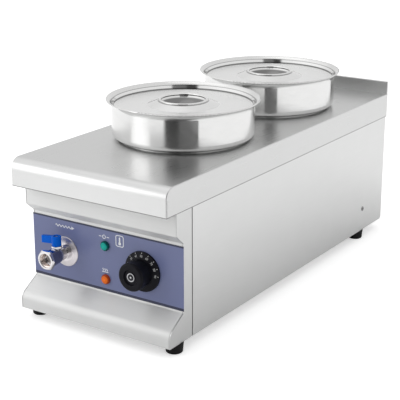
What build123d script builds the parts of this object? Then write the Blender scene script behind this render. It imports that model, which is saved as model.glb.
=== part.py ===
from build123d import *
import os
from math import acos, cos, degrees, hypot, radians, sin, sqrt

# Counter-top bain marie: two lidded pots over a heated water tank, with a drain tap, pilot lamps and a
# thermostat. Millimetres. While it is modelled, x runs to the right, y runs back from the front face of the
# worktop and z runs up from the ground. The finished pieces are then moved along y, so that the origin lies
# on the ground under the middle of the object.

# Cabinet
WIDTH = 240.0
DEPTH = 600.0
WORKTOP_HEIGHT = 219.0
BODY_BOTTOM = 14.0
SHEET = 1.2
SKIRT_HEIGHT = 36.0
FRONT_BEND = 14.0
SIDE_BEND = 1.2
UPSTAND_HEIGHT = 19.8
UPSTAND_THICKNESS = 3.0
UPSTAND_HEM = 1.35
CORNER_SEAM = 0.35
PANEL_SEAM = 1.6
CHEEK_SEAM = 0.5
REAR_CORNER_CUT = 3.0
CHEEK_DEPTH = 55.0
FLANGE = 15.0

# Front fascia, seen from the side
UPPER_SETBACK = 23.3
CONTROL_SETBACK = 36.8
NOSE_SETBACK = 6.3
UNDERCUT_DROP = 66.0
UNDERCUT_RISE = 11.5
CONTROL_BOTTOM = 51.5
NOSE_TOP = 32.6
FOLD_RADIUS = 2.4
NOSE_RADIUS = 12.0
FASCIA_RETURN = 14.0

# Control overlay
OVERLAY_THICKNESS = 0.8
OVERLAY_TOP_MARGIN = 4.1
OVERLAY_BOTTOM_MARGIN = 2.0
CONTROL_DROP = 125.0

# Water tank
TANK_WALL_GAP = 20.0
TANK_FRONT_SPACE = 108.0
TANK_REAR_SPACE = 60.0
TANK_DEPTH = 138.0
TANK_CORNER = 12.0
TANK_FLANGE = 8.0

# Pots, measured from the raised seat round each hole
POT_END_OFFSET = 102.5
POT_WALL = 0.8
POT_RADIUS = 96.5
POT_STEP = 13.0
POT_HOLE_GAP = 1.2
POT_SEAT_HEIGHT = 1.2
POT_SEAT_WIDTH = 2.2
POT_DROP = 100.0
POT_BOTTOM_ROUND = 7.0
POT_SHOULDER_ROUND = 9.0
POT_FLARE_START = 43.4
POT_FLARE_RADIUS = 8.5
POT_FLARE_ANGLE = 75.0
POT_BEAD = 1.0

# Lids
LID_SHEET = 0.8
LID_PLANE = 42.8
LID_SEAT_GAP = 0.35
LID_LIP_HEIGHT = 5.6
LID_LIP_TILT = 0.2
LID_WALL_GAP = 1.5
LID_KNOB_RADIUS = 33.3
LID_KNOB_HEIGHT = 8.0
LID_KNOB_BEAD = 1.7
LID_KNOB_FOOT = 48.5
LID_KNOB_FLOOR = 12.0
LID_KNOB_SINK = 6.5

# Feet
FOOT_HEIGHT = BODY_BOTTOM
FOOT_RADIUS = 12.0
FOOT_TAPER = 1.2
FOOT_INSET = 12.0
FRONT_FOOT_Y = 31.0
REAR_FOOT_INSET = 70.5
FOOT_RECESS_RADIUS = 5.6
FOOT_RECESS_DEPTH = 5.0
FOOT_EDGE = 1.0
FOOT_SCREW_RADIUS = 2.5
FOOT_SCREW_HEAD = 3.0
FOOT_SCREW_TIP = 2.0
FOOT_NUT_FLATS = 8.0
FOOT_NUT_HEIGHT = 4.0

# Drain tap
TAP_OFFSET = -65.0
TAP_NOZZLE_Y = -5.0
TAP_HEX_LENGTH = 6.5
TAP_HEX_FLATS = 24.0
TAP_HEX_BEVEL = 0.6
TAP_HEX_BEVEL_SLOPE = 0.9
TAP_BORE = 9.3
TAP_BORE_DEPTH = 11.0
TAP_BARREL_RADIUS = 11.6
TAP_BARREL_REAR = 8.7
TAP_TAIL_RADIUS = 8.3
TAP_NECK_STEP = 1.3
TAP_NECK_LENGTH = 3.0
TAP_TAIL_LENGTH = 25.0
TAP_FLANGE_RADIUS = 20.0
TAP_FLANGE_THICKNESS = 3.0
TAP_FLANGE_EDGE = 0.6
TAP_FLANGE_FLAT = 3.0
TAP_NUT_FLATS = 24.0
TAP_NUT_LENGTH = 6.0
STEM_Y = 18.0
STEM_RADIUS = 2.0
STEM_TANG_SHARE = 0.8
STEM_BOSS_RADIUS = 6.0
STEM_BOSS_RISE = 0.4
STEM_NUT_FLATS = 12.0
STEM_NUT_HEIGHT = 2.2
BALL_RADIUS = 6.0
BALL_BORE = 3.8
BALL_CLEARANCE = 0.3
BALL_CAVITY_GAP = 0.4
BALL_SLOT_WIDTH = 1.6
BALL_SLOT_DEPTH = 1.6
SEAT_LENGTH = 5.0
LEVER_HUB_RADIUS = 6.2
LEVER_HUB_HEIGHT = 13.1
LEVER_REACH = 24.0
LEVER_BLADE_HEIGHT = 10.4
LEVER_TIP_HEIGHT = 9.2
LEVER_TIP_DROP = 3.4
LEVER_BLADE_THICKNESS = 4.8
LEVER_GAP = 0.4
LEVER_HUB_ROUND = 1.2
LEVER_TIP_ROUND = 1.9
LEVER_SCREW_RADIUS = 3.0
LEVER_SCREW_SINK = 1.0
LEVER_SCREW_HEAD = 2.0
LEVER_SCREW_SHANK = 1.2
LEVER_SCREW_LENGTH = 4.0
DRAIN_PIPE_RADIUS = 8.3
DRAIN_PIPE_BORE = 6.0
DRAIN_SOCKET_WALL = 2.2
DRAIN_SOCKET_LENGTH = 14.0
DRAIN_SOCKET_CAP = 4.0
DRAIN_SOCKET_GAP = 0.2

# Thermostat and knob
KNOB_OFFSET = 58.4
KNOB_DROP = 0.6
DIAL_RADIUS = 26.2
DIAL_EDGE = 2.2
DIAL_GAP = 0.4
DIAL_RISE = 2.6
DIAL_RECESS_DEPTH = 1.6
DIAL_RECESS_RADIUS = 24.6
CAP_RADIUS = 17.3
CAP_FACE_Y = 8.5
CAP_ROUND = 3.2
CAP_FLARE = 1.2
CAP_RECESS_RADIUS = 10.2
CAP_RECESS_DEPTH = 2.2
CAP_RECESS_TAPER = 1.0
CAP_DISC_RADIUS = 6.2
CAP_DISC_THICKNESS = 0.8
CAP_DISC_GROOVE = (0.4, 0.75)
KNOB_BOSS_RADIUS = 8.0
SPINDLE_RADIUS = 3.0
SPINDLE_LENGTH = 28.0
SPINDLE_INSIDE = 8.0
SPINDLE_END_GAP = 2.0
THERMOSTAT_BUSH = 4.9
THERMOSTAT_PLATE = (48.0, 20.0)
THERMOSTAT_CAN = (34.0, 31.0, 36.0)
THERMOSTAT_SCREW_REACH = 20.5
SMALL_SCREW_RADIUS = 1.9
SMALL_HEAD_RADIUS = 3.4
SMALL_HEAD_HEIGHT = 1.1
SMALL_SCREW_LENGTH = 8.0

# Pilot lamps
LAMP_OFFSET = 0.0
LAMP_RISE = 22.5
LAMP_DROP = 1.5
LAMP_LENS_RADIUS = 6.6
LAMP_LENS_HEIGHT = 4.8
LAMP_LENS_EDGE = 1.9
LAMP_LENS_CROWN = 0.5
LAMP_BODY_RADIUS = 5.0
LAMP_BODY_LENGTH = 20.0
LAMP_TAB = (0.8, 6.0, 5.0)
LAMP_TAB_SPREAD = 2.5
LAMP_NUT_FLATS = 14.0
LAMP_NUT_LENGTH = 3.0

# Heating element
ELEMENT_RADIUS = 4.0
ELEMENT_LIFT = 16.0
ELEMENT_PASSES = (75.0, -55.0, -15.0, 35.0)
ELEMENT_END_GAP = 36.0
ELEMENT_BEND = 17.0
ELEMENT_STICK_OUT = 18.0
ELEMENT_PIN_RADIUS = 1.8
ELEMENT_PIN_LENGTH = 10.0
BUSH_RADIUS = 7.0
BUSH_COLLAR_RADIUS = 9.5
BUSH_COLLAR_LENGTH = 3.0
BUSH_GASKET = 1.5
BUSH_NUT_FLATS = 20.0
BUSH_NUT_LENGTH = 4.0
BUSH_NUT_STAND_OFF = 2.0
SUPPORT_WIDTH = 10.0
SUPPORT_SPAN = 150.0
SUPPORT_PLACES = (0.3, 0.7)

# Capillary bulb and boil-dry cut-out
BULB_OFFSET = 10.0
BULB_RADIUS = 3.0
BULB_LENGTH = 110.0
BULB_START = 92.0
CAPILLARY_RADIUS = 0.9
CAPILLARY_BEND = 6.0
CAPILLARY_RISE = 35.0
CAPILLARY_WALL_GAP = 9.0
CAPILLARY_LOOP_GAP = 18.0
CAPILLARY_CAN_RISE = 12.0
CAPILLARY_NUT_FLATS = 12.0
CAPILLARY_NUT_LENGTH = 5.0
CAPILLARY_THREAD = 3.0
CUTOUT_PLACE = (0.0, 42.0)
CUTOUT_RADIUS = 8.0
CUTOUT_HEIGHT = 9.0
CUTOUT_EAR = (24.0, 8.0, 1.0)
CUTOUT_TAB = (0.8, 6.0, 7.0)
CUTOUT_TAB_SPREAD = 4.0

# Wiring and rear fittings
TERMINAL_BLOCK = (90.0, 18.0, 16.0)
TERMINAL_OFFSET = 30.0
TERMINAL_GAP = 20.0
TERMINAL_POLES = 6
TERMINAL_WELL = (2.2, 3.0)
LEAD_RADIUS = 1.5
LEAD_BEND = 8.0
LEAD_LIFT = 10.0
LEAD_SPREAD = 8.0
LEAD_DROP = 32.0
LEAD_LAMP_LOOPS = {"heat": (LAMP_TAB_SPREAD, 12.0), "power": (-LAMP_TAB_SPREAD, 24.0)}
GLAND_OFFSET = 70.0
GLAND_HEIGHT = 49.0
GLAND_THREAD = 9.8
GLAND_BORE = 4.2
GLAND_FLATS = 22.0
GLAND_HEX_LENGTH = 5.0
GLAND_DOME_RADIUS = 10.0
GLAND_REACH = 20.0
GLAND_MOUTH = 6.0
GLAND_CROWN = 6.0
GLAND_THREAD_TIP = 2.0
GLAND_NUT_FLATS = 24.0
GLAND_NUT_LENGTH = 4.6
STUD_OFFSET = -70.0
STUD_HEIGHT = 44.0
STUD_RADIUS = 2.5
STUD_REACH = 14.0
STUD_INSIDE = 8.0
STUD_NUT_FLATS = 8.0
STUD_NUT_LENGTH = 4.0
STUD_NUT_GAP = 3.2
VENT_SLOT = (30.0, 4.0)
REAR_VENT_GRID = (2, 7)
REAR_VENT_PITCH = (60.0, 10.0)
REAR_VENT_HEIGHT = 134.0
BASE_VENT_GRID = (3, 8)
BASE_VENT_PITCH = (55.0, 40.0)

# Panel screws
PANEL_SCREW_RADIUS = 1.9
PANEL_HEAD_RADIUS = 3.6
PANEL_HEAD_HEIGHT = 1.1
PANEL_SCREW_LENGTH = 6.0
SIDE_SCREW_INSET = 70.0
SIDE_SCREW_HEIGHT = 49.0
REAR_SCREW_HEIGHTS = (34.0, 99.0, 164.0)
BASE_SIDE_FLANGE = 46.0

# Clearances
RUNNING_GAP = 0.05
SCREW_GAP = 0.1
PASS_GAP = 0.6
TRAY_GAP = 0.4

# Places that follow from the sizes above
HALF_WIDTH = WIDTH / 2
SIDE_OUT = HALF_WIDTH - SHEET
SIDE_IN = SIDE_OUT - SHEET
WORKTOP_UNDER = WORKTOP_HEIGHT - SHEET
SKIRT_BOTTOM = WORKTOP_HEIGHT - SKIRT_HEIGHT
REAR_OUT = DEPTH - SHEET
REAR_IN = REAR_OUT - SHEET
CONTROL_IN = CONTROL_SETBACK + SHEET
OVERLAY_FACE = CONTROL_SETBACK - OVERLAY_THICKNESS
UNDERCUT_TOP = WORKTOP_HEIGHT - UNDERCUT_DROP
UNDERCUT_BOTTOM = UNDERCUT_TOP - UNDERCUT_RISE
CONTROL_Z = WORKTOP_HEIGHT - CONTROL_DROP
KNOB_Z = CONTROL_Z - KNOB_DROP
BASE_TOP = BODY_BOTTOM + SHEET
BASE_FRONT = NOSE_SETBACK + FASCIA_RETURN + TRAY_GAP

TANK_HALF = HALF_WIDTH - TANK_WALL_GAP
TANK_FRONT = TANK_FRONT_SPACE
TANK_REAR = DEPTH - TANK_REAR_SPACE
TANK_FLOOR = WORKTOP_HEIGHT - TANK_DEPTH
TANK_FRONT_IN = TANK_FRONT + SHEET
POT_PLACES = {"front": TANK_FRONT + POT_END_OFFSET, "rear": TANK_REAR - POT_END_OFFSET}
POT_LOWER_RADIUS = POT_RADIUS - POT_STEP
POT_HOLE_RADIUS = POT_LOWER_RADIUS + POT_HOLE_GAP
POT_SEAT = WORKTOP_HEIGHT + POT_SEAT_HEIGHT
ELEMENT_Z = TANK_FLOOR + ELEMENT_LIFT

TAP_SHOULDER_Y = OVERLAY_FACE - TAP_FLANGE_THICKNESS
TAP_TAIL_END = TAP_SHOULDER_Y + TAP_TAIL_LENGTH
TAP_NECK_RADIUS = TAP_TAIL_RADIUS + TAP_NECK_STEP
TAP_NECK_FRONT = TAP_SHOULDER_Y - TAP_NECK_LENGTH
TAP_HEX_REAR = TAP_NOZZLE_Y + TAP_HEX_LENGTH
TAP_BARREL_SLOPE = (TAP_BARREL_RADIUS - TAP_BARREL_REAR) / (TAP_NECK_FRONT - TAP_HEX_REAR)
BOSS_FOOT = TAP_BARREL_RADIUS - TAP_BARREL_SLOPE * (STEM_Y - STEM_BOSS_RADIUS - TAP_HEX_REAR)
STEM_NUT_BOTTOM = CONTROL_Z + BOSS_FOOT + STEM_BOSS_RISE
LEVER_BOTTOM = STEM_NUT_BOTTOM + STEM_NUT_HEIGHT + LEVER_GAP
LEVER_TOP = LEVER_BOTTOM + LEVER_HUB_HEIGHT
LEVER_SCREW_SEAT = LEVER_TOP - LEVER_SCREW_SINK - LEVER_SCREW_HEAD
LEVER_BORE_TOP = LEVER_TOP - LEVER_SCREW_SINK - LEVER_SCREW_LENGTH
DRAIN_SOCKET_RADIUS = TAP_TAIL_RADIUS + DRAIN_SOCKET_WALL
CAN_FRONT = CONTROL_IN + SHEET
CAN_REAR = CAN_FRONT + THERMOSTAT_CAN[1]
LAMP_MIDDLE = CONTROL_Z - LAMP_DROP
LAMP_PLACES = {"power": LAMP_MIDDLE + LAMP_RISE, "heat": LAMP_MIDDLE - LAMP_RISE}
FOOT_PLACES = [
    (side * (HALF_WIDTH - FOOT_INSET), y)
    for side in (-1, 1)
    for y in (FRONT_FOOT_Y, DEPTH - REAR_FOOT_INSET)
]

FRONT_REACH = min(TAP_NOZZLE_Y, CAP_FACE_Y, 0.0)
REAR_REACH = REAR_OUT + max(GLAND_REACH, STUD_REACH)
MIDDLE_Y = (FRONT_REACH + REAR_REACH) / 2


def block(x, y, z):
    """Box between two limits on each axis."""
    centre = ((x[0] + x[1]) / 2, (y[0] + y[1]) / 2, (z[0] + z[1]) / 2)
    return Pos(*centre) * Box(x[1] - x[0], y[1] - y[0], z[1] - z[0])


def rod_x(radius, x, y, z):
    """Cylinder along x between two limits."""
    return Pos((x[0] + x[1]) / 2, y, z) * Rot(0, 90, 0) * Cylinder(radius, x[1] - x[0])


def rod_y(radius, x, y, z):
    """Cylinder along y between two limits."""
    return Pos(x, (y[0] + y[1]) / 2, z) * Rot(90, 0, 0) * Cylinder(radius, y[1] - y[0])


def rod_z(radius, x, y, z):
    """Cylinder along z between two limits."""
    return Pos(x, y, (z[0] + z[1]) / 2) * Cylinder(radius, z[1] - z[0])


def hexagon_bar(flats, length):
    """Hexagon bar on the z axis, from z = 0 up."""
    return extrude(RegularPolygon(flats / sqrt(3), 6), length)


def hex_y(flats, x, y, z):
    """Hexagon bar along y between two limits."""
    return Pos(x, y[1], z) * Rot(90, 0, 0) * hexagon_bar(flats, y[1] - y[0])


def hex_z(flats, x, y, z):
    """Hexagon bar along z between two limits."""
    return Pos(x, y, z[0]) * hexagon_bar(flats, z[1] - z[0])


def nut_y(flats, hole, x, y, z):
    """Hexagon nut along y between two limits, with a round hole."""
    return hex_y(flats, x, y, z) - rod_y(hole, x, y, z)


def span(middle, size):
    """Limits of a size about its middle."""
    return middle - size / 2, middle + size / 2


def both_sides(near, far):
    """Limits between two distances, in rising order on either side of the middle plane."""
    return min(near, far), max(near, far)


def turned_z(outline, x, y, z):
    """Solid turned about a vertical axis from an outline of (radius, height)."""
    return Pos(x, y, z) * revolve(Plane.XZ * make_face(outline), Axis.Z)


def turned_y(outline, x, z):
    """Solid turned about an axis along y from an outline of (radius, y)."""
    return Pos(x, 0, z) * revolve(make_face(outline), Axis.Y)


def tube_along(points, bends, radius):
    """Round bar that follows straight runs joined by arcs."""
    path = FilletPolyline(*points, radius=bends)
    return sweep((path ^ 0) * Circle(radius), path=path)


def mirrored(part):
    """Copy of a part on the other side of the middle plane."""
    return mirror(part, about=Plane.YZ)


def side_outline(corners, bends):
    """Face in the side view from (y, z) corners, each with its own bend radius."""
    return Plane.YZ * make_face(FilletPolyline(*corners, radius=bends, close=True))


def worktop():
    """Folded top with skirts, a return under the front, a hemmed upstand and the pot holes with raised seats."""
    low = SKIRT_BOTTOM
    top = WORKTOP_HEIGHT
    under = WORKTOP_UNDER
    open_end = low - SHEET
    outside = side_outline([(0, low), (0, top), (DEPTH, top), (DEPTH, low)], [0, FRONT_BEND, 0, 0])
    inner_corners = [(SHEET, open_end), (SHEET, under), (REAR_OUT, under), (REAR_OUT, open_end)]
    inside = side_outline(inner_corners, [0, FRONT_BEND - SHEET, 0, 0])
    shell = extrude(outside, HALF_WIDTH, both=True)
    side_edges = [e for e in shell.edges() if abs(e.center().X) > SIDE_OUT and e.center().Y < REAR_OUT]
    shell = fillet([e for e in side_edges if e.center().Z > low + SHEET], SIDE_BEND)
    shell -= extrude(inside, SIDE_OUT, both=True)
    shell += block((-SIDE_OUT, SIDE_OUT), (SHEET / 2, UPPER_SETBACK - PASS_GAP), (low, low + SHEET))
    upstand_front = DEPTH - UPSTAND_THICKNESS
    upstand_top = top + UPSTAND_HEIGHT
    shell += block((-HALF_WIDTH, HALF_WIDTH), (upstand_front, DEPTH), (top - SHEET / 2, upstand_top))
    hem = shell.edges().filter_by(Axis.X).group_by(Axis.Z)[-1]
    shell = fillet(hem, UPSTAND_HEM)
    for y in POT_PLACES.values():
        shell += rod_z(POT_HOLE_RADIUS + POT_SEAT_WIDTH, 0, y, (under, POT_SEAT))
        shell -= rod_z(POT_HOLE_RADIUS, 0, y, (low, POT_SEAT + SHEET))
    for side in (-1, 1):
        outer = both_sides(side * (HALF_WIDTH - CORNER_SEAM), side * (HALF_WIDTH + SHEET))
        seam_y = (SIDE_BEND + CORNER_SEAM, SIDE_BEND + 2 * CORNER_SEAM)
        shell -= block(outer, seam_y, (low - SHEET, top - FRONT_BEND))
    return shell


def fascia_corners():
    """Outer corners of the fascia in the side view, with the closing corners at the cheek's rear edge."""
    rear = CHEEK_DEPTH - PANEL_SEAM / 2
    corners = [
        (UPPER_SETBACK, WORKTOP_UNDER),
        (UPPER_SETBACK, UNDERCUT_TOP),
        (CONTROL_SETBACK, UNDERCUT_BOTTOM),
        (CONTROL_SETBACK, CONTROL_BOTTOM),
        (NOSE_SETBACK, NOSE_TOP),
        (NOSE_SETBACK, BODY_BOTTOM),
        (rear, BODY_BOTTOM),
        (rear, WORKTOP_UNDER),
    ]
    return corners, [0, FOLD_RADIUS, FOLD_RADIUS, FOLD_RADIUS, NOSE_RADIUS, 0, 0, 0]


def cheek():
    """Right-hand end plate of the fascia."""
    return Pos(SIDE_IN, 0, 0) * extrude(side_outline(*fascia_corners()), SHEET)


def control_holes(first, last):
    """Cutters for everything that passes through the control plane."""
    y = (first, last)
    cutters = [rod_y(TAP_TAIL_RADIUS + PASS_GAP, TAP_OFFSET, y, CONTROL_Z)]
    cutters += [rod_y(LAMP_BODY_RADIUS + SCREW_GAP, LAMP_OFFSET, y, z) for z in LAMP_PLACES.values()]
    cutters += [rod_y(THERMOSTAT_BUSH + SCREW_GAP, KNOB_OFFSET, y, KNOB_Z)]
    for side in (-1, 1):
        x = KNOB_OFFSET + side * THERMOSTAT_SCREW_REACH
        cutters.append(rod_y(SMALL_SCREW_RADIUS + SCREW_GAP, x, y, KNOB_Z))
    return cutters


def fascia():
    """Bent front sheet between the cheeks, with a flange at the top and a return at the bottom."""
    outline = side_outline(*fascia_corners())
    sheet = outline - offset(outline, -SHEET, kind=Kind.INTERSECTION)
    bent = extrude(sheet, SIDE_IN - CHEEK_SEAM, both=True)
    wide = (-HALF_WIDTH, HALF_WIDTH)
    behind = CHEEK_DEPTH + SHEET
    bent -= block(wide, (NOSE_SETBACK + FASCIA_RETURN, behind), (0, BASE_TOP + SHEET))
    bent -= block(wide, (CONTROL_IN + SHEET, behind), (0, WORKTOP_HEIGHT))
    for cutter in control_holes(OVERLAY_FACE, CONTROL_IN + SHEET):
        bent -= cutter
    return bent


def control_overlay():
    """Thin coloured plate on the control plane."""
    z = (CONTROL_BOTTOM + OVERLAY_BOTTOM_MARGIN, UNDERCUT_BOTTOM - OVERLAY_TOP_MARGIN)
    plate = block((-SIDE_OUT, SIDE_OUT), (OVERLAY_FACE, CONTROL_SETBACK), z)
    for cutter in control_holes(OVERLAY_FACE - SHEET, CONTROL_SETBACK + SHEET):
        plate -= cutter
    return plate


def rear_screw_places():
    """Places (x, z) of the screws that hold the rear panel."""
    x = SIDE_IN - FLANGE / 2
    return [(side * x, z) for side in (-1, 1) for z in REAR_SCREW_HEIGHTS]


def side_panel():
    """Right-hand side panel with a front flange, a rear flange and its screw holes."""
    front = CHEEK_DEPTH + PANEL_SEAM / 2
    panel = block((SIDE_IN, SIDE_OUT), (front, REAR_OUT), (BODY_BOTTOM, WORKTOP_UNDER))
    low_edges = panel.edges().filter_by(Axis.X).group_by(Axis.Z)[0]
    panel = chamfer(low_edges.sort_by(Axis.Y)[-1], REAR_CORNER_CUT)
    flange_x = (SIDE_IN - FLANGE, SIDE_IN + SHEET / 2)
    panel += block(flange_x, (front, front + SHEET), (BASE_TOP + PASS_GAP, WORKTOP_UNDER))
    panel += block(flange_x, (REAR_IN - SHEET, REAR_IN), (BASE_TOP + PASS_GAP, WORKTOP_UNDER))
    hole = SMALL_SCREW_RADIUS + SCREW_GAP
    panel -= rod_x(hole, (SIDE_IN - SHEET, HALF_WIDTH), DEPTH - SIDE_SCREW_INSET, SIDE_SCREW_HEIGHT)
    for x, z in rear_screw_places():
        panel -= rod_y(hole, x, (REAR_IN - 2 * SHEET, REAR_IN + SHEET / 2), z)
    return panel


def slot_grid(grid, pitch):
    """Centres of a grid of slots about a middle point."""
    columns, rows = grid
    places = []
    for column in range(columns):
        for row in range(rows):
            places.append(((column - (columns - 1) / 2) * pitch[0], (row - (rows - 1) / 2) * pitch[1]))
    return places


def rear_panel():
    """Back cover with vent slots and the holes for gland, stud and screws."""
    y = (REAR_IN, REAR_OUT)
    through = (REAR_IN - SHEET, REAR_OUT + SHEET)
    panel = block((-SIDE_IN, SIDE_IN), y, (BODY_BOTTOM, WORKTOP_UNDER))
    slot = extrude(SlotOverall(*VENT_SLOT), 2 * SHEET, both=True)
    for x, z in slot_grid(REAR_VENT_GRID, REAR_VENT_PITCH):
        panel -= Pos(x, REAR_OUT, REAR_VENT_HEIGHT + z) * Rot(90, 0, 0) * slot
    panel -= rod_y(GLAND_THREAD + SCREW_GAP, GLAND_OFFSET, through, GLAND_HEIGHT)
    panel -= rod_y(STUD_RADIUS + SCREW_GAP, STUD_OFFSET, through, STUD_HEIGHT)
    for x, z in rear_screw_places():
        panel -= rod_y(PANEL_SCREW_RADIUS + SCREW_GAP, x, through, z)
    return panel


def base_tray():
    """Bottom tray with upturned side flanges, vent slots and foot holes."""
    rear = REAR_IN - SHEET
    tray = block((-SIDE_IN, SIDE_IN), (BASE_FRONT, rear), (BODY_BOTTOM, BASE_TOP))
    flange_y = (CHEEK_DEPTH + FLANGE, rear - FLANGE)
    hole = PANEL_SCREW_RADIUS + SCREW_GAP
    for side in (-1, 1):
        x = both_sides(side * (SIDE_IN - SHEET), side * SIDE_IN)
        tray += block(x, flange_y, (BODY_BOTTOM, BODY_BOTTOM + BASE_SIDE_FLANGE))
        tray -= rod_x(hole, (x[0] - SHEET, x[1] + SHEET), DEPTH - SIDE_SCREW_INSET, SIDE_SCREW_HEIGHT)
    slot = extrude(SlotOverall(*VENT_SLOT), 2 * SHEET, both=True)
    for x, y in slot_grid(BASE_VENT_GRID, BASE_VENT_PITCH):
        tray -= Pos(x, (BASE_FRONT + rear) / 2 + y, BODY_BOTTOM) * slot
    for x, y in FOOT_PLACES:
        tray -= rod_z(FOOT_SCREW_RADIUS + SCREW_GAP, x, y, (0, BASE_TOP + SHEET))
    return tray


def cabinet_screws():
    """Side screws of the base tray and screws of the rear panel, as two groups."""
    y = DEPTH - SIDE_SCREW_INSET
    side_screws = []
    for side in (-1, 1):
        head_x = both_sides(side * SIDE_OUT, side * (SIDE_OUT + PANEL_HEAD_HEIGHT))
        head = rod_x(PANEL_HEAD_RADIUS, head_x, y, SIDE_SCREW_HEIGHT)
        shank_x = both_sides(side * (SIDE_OUT - PANEL_SCREW_LENGTH), side * SIDE_OUT)
        side_screws.append(head + rod_x(PANEL_SCREW_RADIUS, shank_x, y, SIDE_SCREW_HEIGHT))
    rear_screws = []
    for x, z in rear_screw_places():
        head = rod_y(PANEL_HEAD_RADIUS, x, (REAR_OUT, REAR_OUT + PANEL_HEAD_HEIGHT), z)
        rear_screws.append(head + rod_y(PANEL_SCREW_RADIUS, x, (REAR_OUT - PANEL_SCREW_LENGTH, REAR_OUT), z))
    return side_screws, rear_screws


def feet():
    """Rubber feet, their screws and the nuts inside the tray, as three groups."""
    low = FOOT_RADIUS - FOOT_TAPER
    edge = [(0, 0), (low - FOOT_EDGE, 0), (low, FOOT_EDGE), (FOOT_RADIUS, FOOT_HEIGHT), (0, FOOT_HEIGHT)]
    outline = Polyline(*edge, close=True)
    pads = []
    screws = []
    nuts = []
    hole = FOOT_SCREW_RADIUS + SCREW_GAP
    for x, y in FOOT_PLACES:
        pad = turned_z(outline, x, y, 0) - rod_z(hole, x, y, (0, FOOT_HEIGHT))
        pads.append(pad - rod_z(FOOT_RECESS_RADIUS, x, y, (0, FOOT_RECESS_DEPTH)))
        head_z = (FOOT_RECESS_DEPTH - FOOT_SCREW_HEAD, FOOT_RECESS_DEPTH)
        head = rod_z(FOOT_RECESS_RADIUS - PASS_GAP, x, y, head_z)
        nut_z = (BASE_TOP, BASE_TOP + FOOT_NUT_HEIGHT)
        screws.append(head + rod_z(FOOT_SCREW_RADIUS, x, y, (FOOT_RECESS_DEPTH, nut_z[1] + FOOT_SCREW_TIP)))
        nuts.append(hex_z(FOOT_NUT_FLATS, x, y, nut_z) - rod_z(FOOT_SCREW_RADIUS + RUNNING_GAP, x, y, nut_z))
    return pads, screws, nuts


def water_tank():
    """Open tank that hangs under the worktop by its top flange."""
    x = (-TANK_HALF, TANK_HALF)
    y = (TANK_FRONT, TANK_REAR)
    outside = block(x, y, (TANK_FLOOR - SHEET, WORKTOP_UNDER))
    outside = fillet(outside.edges().filter_by(Axis.Z), TANK_CORNER)
    inside = block(
        (x[0] + SHEET, x[1] - SHEET), (y[0] + SHEET, y[1] - SHEET), (TANK_FLOOR, WORKTOP_UNDER + SHEET)
    )
    inside = fillet(inside.edges().filter_by(Axis.Z), TANK_CORNER - SHEET)
    flange = block(
        (x[0] - TANK_FLANGE, x[1] + TANK_FLANGE),
        (y[0] - TANK_FLANGE, y[1] + TANK_FLANGE),
        (WORKTOP_UNDER - SHEET, WORKTOP_UNDER),
    )
    tank = outside + flange - inside
    wall = (TANK_FRONT - SHEET, TANK_FRONT_IN + SHEET)
    tank -= rod_y(DRAIN_PIPE_RADIUS + RUNNING_GAP, TAP_OFFSET, wall, CONTROL_Z)
    for leg in (ELEMENT_PASSES[0], ELEMENT_PASSES[-1]):
        tank -= rod_y(BUSH_RADIUS + RUNNING_GAP, leg, wall, ELEMENT_Z)
    tank -= rod_y(CAPILLARY_THREAD + RUNNING_GAP, BULB_OFFSET, wall, ELEMENT_Z + CAPILLARY_RISE)
    return tank


def heating_element():
    """Tubular element with its terminal pins, and its bushes, gaskets and nuts in the tank wall."""
    front = TANK_FRONT - ELEMENT_STICK_OUT
    near = TANK_FRONT + ELEMENT_END_GAP
    far = TANK_REAR - ELEMENT_END_GAP
    first, left, inner, last = ELEMENT_PASSES
    inner_far = far - (inner - left)
    route = [
        (first, front), (first, far), (left, far), (left, near),
        (inner, near), (inner, inner_far), (last, inner_far), (last, front),
    ]
    points = [(x, y, ELEMENT_Z) for x, y in route]
    element = tube_along(points, ELEMENT_BEND, ELEMENT_RADIUS)
    bushes = []
    gaskets = []
    nuts = []
    for x in (first, last):
        element += rod_y(ELEMENT_PIN_RADIUS, x, (front - ELEMENT_PIN_LENGTH, front), ELEMENT_Z)
        collar = (TANK_FRONT_IN + BUSH_GASKET, TANK_FRONT_IN + BUSH_GASKET + BUSH_COLLAR_LENGTH)
        bush_nut = (TANK_FRONT - BUSH_NUT_LENGTH, TANK_FRONT)
        bush_y = (bush_nut[0] - BUSH_NUT_STAND_OFF, collar[1])
        bush = rod_y(BUSH_RADIUS, x, bush_y, ELEMENT_Z) + rod_y(BUSH_COLLAR_RADIUS, x, collar, ELEMENT_Z)
        bushes.append(bush - rod_y(ELEMENT_RADIUS + RUNNING_GAP, x, bush_y, ELEMENT_Z))
        ring_y = (TANK_FRONT_IN, collar[0])
        hole = BUSH_RADIUS + RUNNING_GAP
        gaskets.append(rod_y(BUSH_COLLAR_RADIUS, x, ring_y, ELEMENT_Z) - rod_y(hole, x, ring_y, ELEMENT_Z))
        nuts.append(nut_y(BUSH_NUT_FLATS, hole, x, bush_nut, ELEMENT_Z))
    return element, bushes, gaskets, nuts


def element_supports():
    """Folded strips that stand on the tank floor and carry the element."""
    top = ELEMENT_Z - ELEMENT_RADIUS
    x = span((ELEMENT_PASSES[0] + ELEMENT_PASSES[1]) / 2, SUPPORT_SPAN)
    strips = []
    for share in SUPPORT_PLACES:
        y = span(TANK_FRONT + share * (TANK_REAR - TANK_FRONT), SUPPORT_WIDTH)
        strip = block(x, y, (TANK_FLOOR, top))
        strips.append(strip - block((x[0] + SHEET, x[1] - SHEET), y, (TANK_FLOOR, top - SHEET)))
    return strips


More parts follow.
